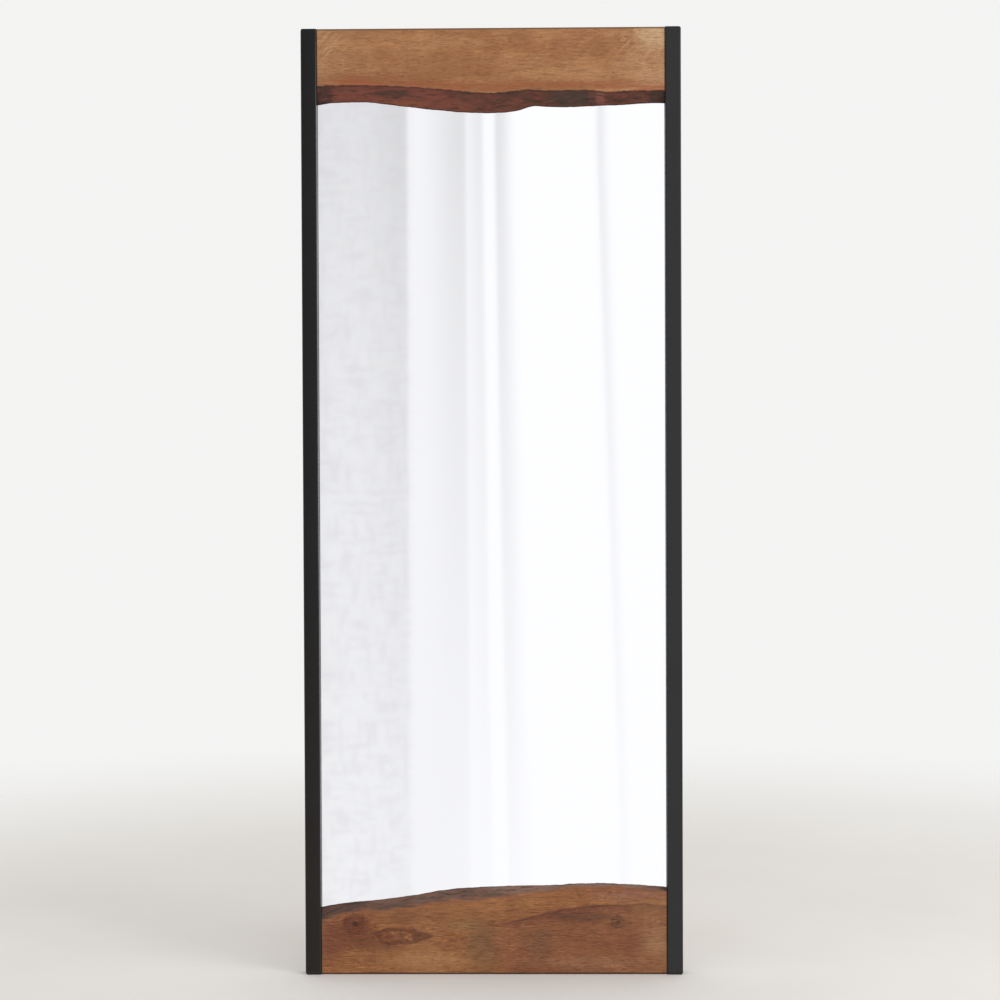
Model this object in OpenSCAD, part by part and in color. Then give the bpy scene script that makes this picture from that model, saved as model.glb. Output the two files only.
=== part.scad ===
// Full-length floor mirror: two black steel rails, a live-edge board across the
// top and the bottom, and a sheet of mirror glass on a backing panel between them.
// It stands upright in its own frame: X to the right, Y to the back, Z up.

/* [Frame] */
// Overall width across the two rails
frame_w = 610; // [450:1:900]
// Overall height from the floor to the top of the rails
frame_h = 1524; // [1200:1:2000]
// Side of the square steel tube that the rails are cut from
rail_size = 25.4; // [24:0.1:36]
// Wall of the rail tube
rail_wall = 1.5; // [1:0.1:3]
// Radius along the long outer corners of the rails
rail_corner_r = 2; // [0.8:0.1:3]
// Thickness of the plate welded on the top end of each rail
cap_t = 4; // [3:0.5:8]
// Radius of the outer corner at the top of each rail
cap_corner_r = 3.5; // [1:0.5:4]

/* [Feet] */
// Thickness of each foot below its rail
foot_t = 5; // [3:0.5:12]
// Radius of the outer corner of each foot
foot_corner_r = 4.5; // [1:0.5:5]
// How far the plug of each foot reaches up into the rail
foot_plug_h = 18; // [8:1:40]
// Clearance between the plug and the inside of the rail
foot_plug_gap = 0.1; // [0.05:0.05:0.3]

/* [Live-edge boards] */
// Thickness of both boards
board_t = 20; // [18:0.5:25]
// Height of the top board where its live edge reaches furthest down
top_board_h = 135; // [115:1:220]
// Height of the bottom board where its live edge reaches furthest up
bottom_board_h = 145; // [130:1:220]
// Height of the full-thickness part of both boards, up to the glass rebate
rebate_h = 80; // [60:1:88]
// Gap between the end of a board and a rail
board_end_gap = 0.3; // [0.1:0.1:1]
// Chamfer along the straight long edges of both boards
board_ease = 1.2; // [0.5:0.1:3]
// Gap between the back of a board's lip and the glass
lip_gap = 0.2; // [0.1:0.1:0.5]

/* [Glass and backing] */
// Thickness of the mirror glass
glass_t = 4; // [3:0.5:6]
// Gap between the glass and each rail
glass_side_gap = 0.5; // [0.3:0.1:3]
// Gap above the glass in the top board's rebate
glass_top_gap = 1.5; // [0.5:0.1:3]
// Thickness of the double-sided tape behind the glass
tape_t = 1; // [0.5:0.1:2]
// Width of each strip of tape
tape_w = 25; // [12:1:40]
// Number of strips of tape
tape_count = 4; // [2:1:6]
// Distance of the tape from the edges of the backing panel
tape_inset = 40; // [20:1:80]
// Thickness of the backing panel
panel_t = 5; // [3:0.5:6]
// Gap between the backing panel and each rail
panel_side_gap = 1; // [0.5:0.1:3]

/* [Bars at the back] */
// Thickness of the flat steel bars
bar_t = 3; // [2:0.5:4]
// Height of the two cross bars
cross_bar_h = 50; // [40:1:60]
// How far the cross bars reach behind the backing panel
cross_bar_lap = 12; // [8:1:16]
// Width of the two side ledges
ledge_w = 15; // [12:1:25]

/* [Board screws] */
// Radius of the shank of a board screw
board_screw_r = 2.1; // [1.5:0.1:2.5]
// Depth of a board screw in the wood
board_screw_grip = 12; // [8:1:14]
// Radius of the head of a board screw
board_screw_head_r = 4.6; // [4:0.1:6]
// Height of the head of a board screw
board_screw_head_h = 2.4; // [1.5:0.1:3]
// Number of screws in each board
board_screw_count = 4; // [2:1:8]
// Distance of the outermost screws from the ends of a board
board_screw_inset = 60; // [30:1:100]
// Length of the upright slots that let the boards swell and shrink
board_slot_l = 12; // [8:0.5:16]
// Gap round the shank in its slot, on each side
board_slot_gap = 0.4; // [0.2:0.1:0.8]

/* [Panel screws] */
// Radius of the shank of a panel screw
panel_screw_r = 1.6; // [1.2:0.1:2]
// Depth of a panel screw in the backing panel
panel_screw_grip = 2.4; // [1.5:0.1:2.6]
// Radius of the head of a panel screw
panel_screw_head_r = 3.4; // [3:0.1:4.5]
// Height of the head of a panel screw
panel_screw_head_h = 1.8; // [1:0.1:2.5]
// Number of screws in each ledge
panel_screw_count = 5; // [2:1:10]
// Distance of the outermost panel screws from the ends of a ledge
panel_screw_inset = 40; // [20:1:100]

/* [Ring hangers] */
// Distance of the ring hinges below the top of the rails
hanger_drop = 250; // [120:1:500]
// Width of the hanger straps
strap_w = 14; // [10:0.5:15]
// Height of the hanger straps above their hinge
strap_h = 44; // [36:1:60]
// Thickness of the folded hanger straps
strap_t = 2; // [1.8:0.1:3]
// Wall of the rolled eye at the foot of each strap
eye_wall = 1; // [0.8:0.1:1.5]
// Diameter of the wire that the rings are bent from
ring_wire_d = 3; // [2.5:0.1:4]
// Distance between the centre lines of the two legs of a ring
ring_w = 20; // [19:0.5:22]
// Length of the straight legs of a ring
ring_leg = 8; // [4:0.5:20]
// Running clearance round the ring wire in its eye
ring_pin_gap = 0.06; // [0.02:0.01:0.1]
// Gap between a ring that is folded up and its strap
ring_fold_gap = 0.4; // [0.3:0.1:1]
// Radius of the shank of a hanger screw
hanger_screw_r = 1.7; // [1.2:0.1:2]
// Radius of the countersunk head of a hanger screw
hanger_screw_head_r = 3.2; // [2.6:0.1:4]
// Depth of the countersunk head of a hanger screw
hanger_screw_head_h = 1.5; // [1:0.1:1.7]
// Length of a hanger screw from the face of its strap
hanger_screw_l = 10; // [6:0.5:16]
// Distance between the two screws of a strap
hanger_screw_pitch = 20; // [14:1:24]
// Distance of the upper screw below the top of its strap
hanger_screw_inset = 8; // [6:0.5:10]

/* [Wall bumpers] */
// Radius of each rubber wall bumper
bumper_r = 8; // [5:0.5:11]
// Height of each wall bumper behind its rail
bumper_h = 8; // [7:0.5:14]
// Distance of the bumpers below the top of the rails
bumper_drop = 32; // [20:1:100]

/* [Hidden] */
$fn = 64;

LEFT = -1;
RIGHT = 1;
// Overshoot of a cut past the face that it starts from
cut = 1;
// Clearance round a thread that is drawn as a plain shank
thread_gap = 0.05;

// Depths, from the rails' front face to the tips of the wall bumpers
front_y = -(rail_size + bumper_h) / 2;
back_y = front_y + rail_size;
rail_y = front_y + rail_size / 2;
bar_y = back_y - bar_t;
panel_y = bar_y - panel_t;
tape_y = panel_y - tape_t;
glass_y = tape_y - glass_t;
board_y = bar_y - board_t;
lip_y = glass_y - lip_gap;

// Widths between the rails
inner_w = frame_w - 2 * rail_size;
rail_x = (frame_w - rail_size) / 2;
board_l = inner_w - 2 * board_end_gap;
panel_w = inner_w - 2 * panel_side_gap;
ledge_x = (inner_w - ledge_w) / 2;

// Heights
rail_top = frame_h - cap_t;
panel_h = frame_h - 2 * rebate_h - glass_top_gap;
bar_low = rebate_h + cross_bar_lap - cross_bar_h;
board_screw_h = (bar_low + rebate_h) / 2;
ledge_low = bar_low + cross_bar_h;
ledge_l = frame_h - 2 * ledge_low;
hinge_z = frame_h - hanger_drop;
hinge_y = back_y + strap_t + ring_fold_gap + ring_wire_d / 2;
tube_in = rail_size - 2 * rail_wall;

// Live edges, from the left end of a board to the right end. Each point holds:
// place along the board as a share of its half length,
// distance of the tip below the board's full height,
// height of the bark slope, from the front face to the tip at the glass
BOTTOM_EDGE = [
    [-1.00, 37.5, 22.0], [-0.93, 34.0, 17.5], [-0.86, 31.0, 13.0], [-0.79, 29.0, 12.5],
    [-0.70, 27.0, 14.5], [-0.58, 23.0, 15.5], [-0.44, 17.5, 15.0], [-0.33, 12.0, 15.5],
    [-0.22, 8.0, 17.5], [-0.11, 6.0, 17.5], [0.02, 4.3, 14.0], [0.17, 3.0, 10.5],
    [0.32, 2.5, 6.0], [0.42, 1.8, 2.8], [0.51, 0.4, 2.2], [0.66, 0.2, 2.0],
    [0.75, 1.4, 2.6], [0.88, 3.0, 3.6], [1.00, 6.0, 4.5]
];
TOP_EDGE = [
    [-1.00, 14.5, 29.0], [-0.92, 17.7, 27.5], [-0.72, 18.8, 26.0], [-0.58, 14.6, 28.5],
    [-0.44, 9.6, 31.5], [-0.30, 5.2, 32.5], [-0.16, 1.8, 32.5], [-0.03, 0.4, 31.0],
    [0.06, 0.8, 31.0], [0.13, 2.6, 31.5], [0.19, 6.4, 29.5], [0.245, 10.8, 24.5],
    [0.33, 9.4, 25.0], [0.45, 9.0, 26.0], [0.58, 10.3, 24.0], [0.66, 11.0, 21.0],
    [0.80, 12.8, 20.5], [0.94, 14.6, 18.6], [1.00, 14.2, 19.0]
];
// Number of pieces that a live edge is divided into along its board
edge_pieces = 56;
// Number of steps across the bark slope
slope_steps = 5;
// Share of the bark slope that is a quarter round, and not a straight chamfer
slope_roundness = 0.5;

// Index of the point at or before place s
function span_at(points, s, i = 0) =
    (i >= len(points) - 2 || s < points[i + 1][0]) ? i : span_at(points, s, i + 1);

// Rate of change of value k at point i
function rate_at(points, i, k) =
    let (a = points[max(i - 1, 0)], b = points[min(i + 1, len(points) - 1)])
    (b[k] - a[k]) / (b[0] - a[0]);

// Value k at place s, on a smooth curve through the points
function smooth_at(points, s, k) =
    let (i = span_at(points, s), a = points[i], b = points[i + 1])
    let (l = b[0] - a[0], t = (s - a[0]) / l)
    (2 * pow(t, 3) - 3 * pow(t, 2) + 1) * a[k]
    + (3 * pow(t, 2) - 2 * pow(t, 3)) * b[k]
    + (pow(t, 3) - 2 * pow(t, 2) + t) * l * rate_at(points, i, k)
    + (pow(t, 3) - pow(t, 2)) * l * rate_at(points, i + 1, k);

// Share of the slope's height that is reached at share t of its depth
function slope_rise(t) = (1 - slope_roundness) * t + slope_roundness * sin(90 * t);

// Outline of a board across its length at place s, with its straight edge at Z 0
function board_section(points, h, s) =
    let (tip = h - smooth_at(points, s, 1), slope = smooth_at(points, s, 2))
    concat(
        [[board_y + board_ease, 0], [board_y, board_ease]],
        [for (j = [0 : slope_steps]) let (t = j / slope_steps)
            [board_y + t * (lip_y - board_y), tip - slope * (1 - slope_rise(t))]],
        [[lip_y, rebate_h], [bar_y, rebate_h], [bar_y, board_ease], [bar_y - board_ease, 0]]
    );

// Left or right places of n items in a row of length l, centred on 0
function row(n, l) = [for (i = [0 : n - 1]) -l / 2 + l * i / (n - 1)];

board_screw_xs = row(board_screw_count, board_l - 2 * board_screw_inset);
panel_screw_zs = row(panel_screw_count, ledge_l - 2 * panel_screw_inset);
hanger_screw_zs = [
    hinge_z + strap_h - hanger_screw_inset,
    hinge_z + strap_h - hanger_screw_inset - hanger_screw_pitch
];

// Rectangle with rounded corners, centred on the origin
module rounded_rectangle(w, d, r) {
    square([w - 2 * r, d], center = true);
    square([w, d - 2 * r], center = true);
    for (x = [-1, 1], y = [-1, 1])
        translate([x * (w / 2 - r), y * (d / 2 - r)]) circle(r);
}

// Round bar that runs to the back from its start
module bar_to_back(r, l) {
    rotate([-90, 0, 0]) cylinder(h = l, r = r);
}

// Inside of the rail tube, less a gap on every side
module tube_inside(gap) {
    rounded_rectangle(tube_in - 2 * gap, tube_in - 2 * gap, max(rail_corner_r - rail_wall, 0.5));
}

// End block of a rail, with its outer lower corner rounded
module end_block(h, r) {
    round_r = min(r, h);
    intersection() {
        linear_extrude(h) rounded_rectangle(rail_size, rail_size, rail_corner_r);
        rotate([90, 0, 0]) linear_extrude(rail_size, center = true) union() {
            translate([-rail_size / 2, 0]) square([rail_size - round_r, h]);
            translate([-rail_size / 2, round_r]) square([rail_size, h - round_r + cut]);
            translate([rail_size / 2 - round_r, round_r]) circle(round_r);
        }
    }
}

// Turns what is made for the right side into the piece of the given side
module on_side(side) {
    if (side == RIGHT) children();
    else mirror([1, 0, 0]) children();
}

// Square steel tube with the clearance holes of its hanger screws
module rail(side) {
    color("#2b2b2c") on_side(side) difference() {
        translate([rail_x, rail_y, foot_t])
            linear_extrude(rail_top - foot_t) rounded_rectangle(rail_size, rail_size, rail_corner_r);
        translate([rail_x, rail_y, foot_t - cut])
            linear_extrude(rail_top - foot_t + 2 * cut) tube_inside(0);
        for (z = hanger_screw_zs)
            translate([rail_x, back_y - rail_wall - cut, z])
                bar_to_back(hanger_screw_r + thread_gap, rail_wall + 2 * cut);
    }
}

// Plate welded on the top end of a rail and ground flush
module top_cap(side) {
    color("#2b2b2c") on_side(side)
        translate([rail_x, rail_y, frame_h]) mirror([0, 0, 1]) end_block(cap_t, cap_corner_r);
}

// Moulded foot with a plug inside the rail
module foot(side) {
    color("#1e1e1f") on_side(side) translate([rail_x, rail_y, 0]) {
        end_block(foot_t, foot_corner_r);
        translate([0, 0, foot_t]) linear_extrude(foot_plug_h) tube_inside(foot_plug_gap);
    }
}

// Slot with round ends, upright, cut right through a bar
module upright_slot(r, l) {
    for (z = [-1, 1])
        translate([0, 0, z * (l / 2 - r)]) bar_to_back(r, bar_t + 2 * cut);
    translate([-r, 0, -(l / 2 - r)]) cube([2 * r, bar_t + 2 * cut, l - 2 * r]);
}

// Flat bar welded between the rails, with slots for the screws of its board
module cross_bar() {
    color("#2b2b2c") difference() {
        translate([-inner_w / 2, bar_y, bar_low]) cube([inner_w, bar_t, cross_bar_h]);
        for (x = board_screw_xs)
            translate([x, bar_y - cut, board_screw_h])
                upright_slot(board_screw_r + board_slot_gap, board_slot_l);
    }
}

// Flat bar welded along the inner side of a rail, behind the backing panel
module panel_ledge(side) {
    color("#2b2b2c") on_side(side) difference() {
        translate([ledge_x - ledge_w / 2, bar_y, ledge_low]) cube([ledge_w, bar_t, ledge_l]);
        for (z = panel_screw_zs)
            translate([ledge_x, bar_y - cut, frame_h / 2 + z])
                bar_to_back(panel_screw_r + thread_gap, bar_t + 2 * cut);
    }
}

// Board with a live edge, a rebate for the glass and pilot holes at its back
module live_edge_board(points, h) {
    rings = [for (i = [0 : edge_pieces]) board_section(points, h, 2 * i / edge_pieces - 1)];
    n = len(rings[0]);
    corners = [for (i = [0 : edge_pieces], p = rings[i])
        [board_l * (i / edge_pieces - 0.5), p[0], p[1]]];
    sides = [for (i = [0 : edge_pieces - 1], j = [0 : n - 1], half = [0, 1])
        let (a = i * n + j, b = i * n + (j + 1) % n)
        half == 0 ? [a, b, b + n] : [a, b + n, a + n]];
    ends = [[for (j = [0 : n - 1]) n - 1 - j], [for (j = [0 : n - 1]) edge_pieces * n + j]];
    difference() {
        polyhedron(corners, concat(sides, ends));
        for (x = board_screw_xs)
            translate([x, bar_y - board_screw_grip - thread_gap, board_screw_h])
                bar_to_back(board_screw_r + thread_gap, board_screw_grip + cut);
    }
}

// Places a thing made for the foot of the mirror at its top instead
module at_top() {
    translate([0, 0, frame_h]) mirror([0, 0, 1]) children();
}

// Screws of one board, from the back through the slots of its cross bar
module board_screws() {
    color("#8d8d90") for (x = board_screw_xs) translate([x, 0, board_screw_h]) {
        translate([0, bar_y - board_screw_grip, 0])
            bar_to_back(board_screw_r, board_screw_grip + bar_t);
        translate([0, back_y, 0]) bar_to_back(board_screw_head_r, board_screw_head_h);
    }
}

// Rectangular sheet of glass, silvered at its back
module glass_sheet() {
    color("#dfe3e6") translate([-inner_w / 2 + glass_side_gap, glass_y, rebate_h])
        cube([inner_w - 2 * glass_side_gap, glass_t, panel_h]);
}

// Upright strips of tape between the glass and the backing panel
module tape_strips() {
    color("#e8e4da") for (x = row(tape_count, panel_w - 2 * tape_inset - tape_w))
        translate([x - tape_w / 2, tape_y, rebate_h + tape_inset])
            cube([tape_w, tape_t, panel_h - 2 * tape_inset]);
}

// Thin board that carries the glass, with the pilot holes of its screws
module panel() {
    color("#a88a63") difference() {
        translate([-panel_w / 2, panel_y, rebate_h]) cube([panel_w, panel_t, panel_h]);
        for (side = [LEFT, RIGHT], z = panel_screw_zs)
            translate([side * ledge_x, bar_y - panel_screw_grip - thread_gap, frame_h / 2 + z])
                bar_to_back(panel_screw_r + thread_gap, panel_screw_grip + cut);
    }
}

// Screws of one side of the backing panel, from the back through its ledge
module panel_screws(side) {
    color("#8d8d90") on_side(side) for (z = panel_screw_zs)
        translate([ledge_x, 0, frame_h / 2 + z]) {
            translate([0, bar_y - panel_screw_grip, 0])
                bar_to_back(panel_screw_r, panel_screw_grip + bar_t);
            translate([0, back_y, 0]) bar_to_back(panel_screw_head_r, panel_screw_head_h);
        }
}

// Folded strap on the back of a rail, with a rolled eye that carries its ring
module hanger_strap(side) {
    bore_r = ring_wire_d / 2 + ring_pin_gap;
    eye_r = bore_r + eye_wall;
    color("#9a9a9c") on_side(side) translate([rail_x, 0, 0]) difference() {
        union() {
            translate([-strap_w / 2, back_y, hinge_z]) cube([strap_w, strap_t, strap_h]);
            translate([-strap_w / 2, hinge_y, hinge_z])
                rotate([0, 90, 0]) cylinder(h = strap_w, r = eye_r);
            translate([-strap_w / 2, back_y, hinge_z])
                cube([strap_w, hinge_y - back_y, eye_r]);
        }
        translate([-strap_w / 2 - cut, hinge_y, hinge_z])
            rotate([0, 90, 0]) cylinder(h = strap_w + 2 * cut, r = bore_r);
        for (z = hanger_screw_zs)
            translate([0, back_y, z]) {
                translate([0, -cut, 0]) bar_to_back(hanger_screw_r + thread_gap, strap_t + 2 * cut);
                translate([0, strap_t, 0]) screw_cone(thread_gap, cut);
            }
    }
}

// Countersunk head below the face of a strap, widened by a gap
module screw_cone(gap, over) {
    rotate([90, 0, 0]) cylinder(
        h = hanger_screw_head_h, r1 = hanger_screw_head_r + gap, r2 = hanger_screw_r + gap);
    if (over > 0) bar_to_back(hanger_screw_head_r + gap, over);
}

// Countersunk screws that hold a strap on its rail
module hanger_screws(side) {
    color("#8d8d90") on_side(side) for (z = hanger_screw_zs)
        translate([rail_x, back_y + strap_t, z]) {
            screw_cone(0, 0);
            translate([0, -hanger_screw_l, 0]) bar_to_back(hanger_screw_r, hanger_screw_l);
        }
}

// Ring of round wire, closed at the top by the bar that turns in the eye
module hanger_ring(side) {
    wire_r = ring_wire_d / 2;
    color("#9a9a9c") on_side(side) translate([rail_x, hinge_y, hinge_z]) {
        translate([-ring_w / 2, 0, 0]) rotate([0, 90, 0]) cylinder(h = ring_w, r = wire_r);
        for (x = [-ring_w / 2, ring_w / 2]) {
            translate([x, 0, 0]) sphere(wire_r);
            translate([x, 0, -ring_leg]) cylinder(h = ring_leg, r = wire_r);
        }
        translate([0, 0, -ring_leg]) rotate([-90, 0, 0]) rotate_extrude(angle = 180)
            translate([ring_w / 2, 0]) circle(wire_r);
    }
}

// Rubber bumper stuck on the back of a rail, where it leans on the wall
module wall_bumper(side) {
    color("#1e1e1f") on_side(side)
        translate([rail_x, back_y, frame_h - bumper_drop]) bar_to_back(bumper_r, bumper_h);
}

module left_rail() { rail(LEFT); }
module right_rail() { rail(RIGHT); }
module left_top_cap() { top_cap(LEFT); }
module right_top_cap() { top_cap(RIGHT); }
module left_foot() { foot(LEFT); }
module right_foot() { foot(RIGHT); }
module top_cross_bar() { at_top() cross_bar(); }
module bottom_cross_bar() { cross_bar(); }
module left_panel_ledge() { panel_ledge(LEFT); }
module right_panel_ledge() { panel_ledge(RIGHT); }
module top_board() { color("#a87a54") at_top() live_edge_board(TOP_EDGE, top_board_h); }
module bottom_board() { color("#8c5f42") live_edge_board(BOTTOM_EDGE, bottom_board_h); }
module mirror_glass() { glass_sheet(); }
module mirror_tape() { tape_strips(); }
module backing_panel() { panel(); }
module top_board_screws() { at_top() board_screws(); }
module bottom_board_screws() { board_screws(); }
module left_panel_screws() { panel_screws(LEFT); }
module right_panel_screws() { panel_screws(RIGHT); }
module left_hanger_strap() { hanger_strap(LEFT); }
module right_hanger_strap() { hanger_strap(RIGHT); }
module left_hanger_ring() { hanger_ring(LEFT); }
module right_hanger_ring() { hanger_ring(RIGHT); }
module left_hanger_screws() { hanger_screws(LEFT); }
module right_hanger_screws() { hanger_screws(RIGHT); }
module left_wall_bumper() { wall_bumper(LEFT); }
module right_wall_bumper() { wall_bumper(RIGHT); }

left_rail();
right_rail();
left_top_cap();
right_top_cap();
left_foot();
right_foot();
top_cross_bar();
bottom_cross_bar();
left_panel_ledge();
right_panel_ledge();
top_board();
bottom_board();
mirror_glass();
mirror_tape();
backing_panel();
top_board_screws();
bottom_board_screws();
left_panel_screws();
right_panel_screws();
left_hanger_strap();
right_hanger_strap();
left_hanger_ring();
right_hanger_ring();
left_hanger_screws();
right_hanger_screws();
left_wall_bumper();
right_wall_bumper();
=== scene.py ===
"""Looks of a full-length floor mirror: steel rails, live-edge boards, glass and back fittings.

Lengths are in metres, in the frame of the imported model: X to the right, Y to the back, Z up.
A pair called edges holds the value where a change begins and the value where it is complete.
"""

from __future__ import annotations

import logging
import math
from dataclasses import astuple, dataclass, field
from enum import Enum
from functools import partial

import bmesh
import bpy
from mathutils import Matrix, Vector, noise

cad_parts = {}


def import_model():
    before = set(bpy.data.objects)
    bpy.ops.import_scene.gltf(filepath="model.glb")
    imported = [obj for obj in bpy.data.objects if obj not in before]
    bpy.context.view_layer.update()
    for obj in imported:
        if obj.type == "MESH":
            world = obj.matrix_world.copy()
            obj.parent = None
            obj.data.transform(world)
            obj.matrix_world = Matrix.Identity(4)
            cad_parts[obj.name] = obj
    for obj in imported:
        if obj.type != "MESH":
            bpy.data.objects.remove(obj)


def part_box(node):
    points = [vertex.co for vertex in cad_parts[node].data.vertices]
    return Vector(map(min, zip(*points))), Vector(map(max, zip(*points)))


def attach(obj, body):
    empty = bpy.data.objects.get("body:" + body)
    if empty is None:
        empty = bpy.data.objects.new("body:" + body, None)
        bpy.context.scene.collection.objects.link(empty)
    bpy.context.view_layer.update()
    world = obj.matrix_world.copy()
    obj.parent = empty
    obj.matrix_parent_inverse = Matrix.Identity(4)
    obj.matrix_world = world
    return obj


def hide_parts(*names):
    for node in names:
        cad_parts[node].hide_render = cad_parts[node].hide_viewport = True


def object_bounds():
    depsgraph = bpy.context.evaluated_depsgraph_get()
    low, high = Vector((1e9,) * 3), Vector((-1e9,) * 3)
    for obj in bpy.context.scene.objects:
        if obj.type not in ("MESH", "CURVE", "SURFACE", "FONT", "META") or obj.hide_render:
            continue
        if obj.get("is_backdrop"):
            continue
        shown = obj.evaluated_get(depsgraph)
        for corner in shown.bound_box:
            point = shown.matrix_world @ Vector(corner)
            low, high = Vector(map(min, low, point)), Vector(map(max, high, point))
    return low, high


LOG = logging.getLogger("floor_mirror")
MM = 0.001
ROOT_BODY = "mirror_frame"
Colour = tuple[float, float, float, float]
Levels = tuple[int, int, int]
Triple = tuple[float, float, float]
Pair = tuple[float, float]

# The curve that turns the levels of a screen into linear light
SCREEN_TOP = 255
SCREEN_KNEE = 0.04045
SCREEN_SLOPE = 12.92
SCREEN_OFFSET = 0.055
SCREEN_POWER = 2.4
# Middle value of a noise
NOISE_MIDDLE = 0.5


def srgb(*levels: int) -> Colour:
    """Turns red, green and blue as a screen shows them, from 0 to 255, into a linear colour."""
    red, green, blue = (
        share / SCREEN_SLOPE if share <= SCREEN_KNEE
        else ((share + SCREEN_OFFSET) / (1 + SCREEN_OFFSET)) ** SCREEN_POWER
        for share in (level / SCREEN_TOP for level in levels))
    return red, green, blue, 1.0


def grey(level: float) -> Colour:
    """A neutral linear colour."""
    return level, level, level, 1.0


@dataclass(frozen=True)
class Cloud:
    """Plain noise: its waves per metre, its number of finer octaves and their weight."""

    scale: float
    detail: float | Value = 2.0
    rough: float = 0.5


@dataclass(frozen=True)
class Grain:
    """Drawn-out noise: waves per metre along X, Y and Z, finer octaves, and how far it wanders."""

    waves: Triple
    detail: float = 3.0
    wander: float = 0.0


@dataclass(frozen=True)
class Scatter:
    """Specks: waves per metre, the noise's value where they begin, and their soft edge."""

    waves: Triple
    threshold: float
    softness: float


@dataclass(frozen=True)
class Spot:
    """An ellipse: its middle, one over its half sizes, and how ragged its outline is."""

    centre: Triple
    spread: Triple
    ragged: float


@dataclass(frozen=True)
class Relief:
    """A bump: how deep a height of 1 is, in metres, and how strongly it shows."""

    depth: float
    strength: float


class Value:
    """A node's output, with which sums and products are written as they are read."""

    def __init__(self, graph: Graph, socket: bpy.types.NodeSocket) -> None:
        """Keeps the output and the graph that its node is in."""
        self.graph = graph
        self.socket = socket

    def __add__(self, other: object) -> Value:
        """The sum."""
        return self.graph.math("ADD", self, other)

    def __sub__(self, other: object) -> Value:
        """This value less another."""
        return self.graph.math("SUBTRACT", self, other)

    def __rsub__(self, other: object) -> Value:
        """A number less this value."""
        return self.graph.math("SUBTRACT", other, self)

    def __mul__(self, other: object) -> Value:
        """The product."""
        return self.graph.math("MULTIPLY", self, other)

    def __truediv__(self, other: object) -> Value:
        """The quotient."""
        return self.graph.math("DIVIDE", self, other)

    def limited(self, factor: float) -> Value:
        """The product with a factor, kept from 0 to 1."""
        return self.graph.math("MULTIPLY", self, factor, clamp=True)

    def larger(self, other: object) -> Value:
        """The larger of this value and another."""
        return self.graph.math("MAXIMUM", self, other)

    def swing(self, reach: object) -> Value:
        """A noise moved to lie about 0 and stretched to a reach."""
        return (self - NOISE_MIDDLE) * reach

    def step(self, edges: tuple[object, object]) -> Value:
        """A smooth step from 0 at the first edge to 1 at the second, which may be lower."""
        low, high = edges
        if isinstance(low, float) and isinstance(high, float) and low > high:
            return 1.0 - self.step((high, low))
        made = self.graph.node("ShaderNodeMapRange", interpolation_type="SMOOTHSTEP")
        return self.graph.chain(made, self, low, high, 0.0, 1.0)

    def mix(self, below: object, above: object, blend: str = "MIX") -> Value:
        """Lays one colour over another, as strongly as this value says."""
        return self.graph.mix(self, below, above, blend)

    def vector(self, operation: str, other: object = (0.0, 0.0, 0.0)) -> Value:
        """The result of a vector operation, which is a number for a length."""
        made = self.graph.node("ShaderNodeVectorMath", operation=operation)
        result = "Value" if operation == "LENGTH" else "Vector"
        return self.graph.chain(made, self, other, result=result)

    def raised(self, rise: Value) -> Value:
        """This place, moved up."""
        return self.vector("ADD", self.graph.join(0.0, 0.0, rise))

    def split(self) -> tuple[Value, Value, Value]:
        """The three coordinates of a vector."""
        made = self.graph.node("ShaderNodeSeparateXYZ")
        self.graph.feed(made.inputs[0], self)
        x, y, z = (Value(self.graph, socket) for socket in made.outputs)
        return x, y, z

    def noise(self, cloud: Cloud) -> Value:
        """The value of a noise at this place, about 0.5."""
        made = self.graph.node("ShaderNodeTexNoise")
        self.graph.fill(made, {
            "Vector": self, "Scale": cloud.scale, "Detail": cloud.detail,
            "Roughness": cloud.rough})
        return Value(self.graph, made.outputs[0])

    def bump(self, relief: Relief) -> Value:
        """The normal of a surface that this value raises."""
        made = self.graph.node("ShaderNodeBump")
        self.graph.fill(made, {
            "Strength": relief.strength, "Distance": relief.depth, "Height": self})
        return Value(self.graph, made.outputs[0])


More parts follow.
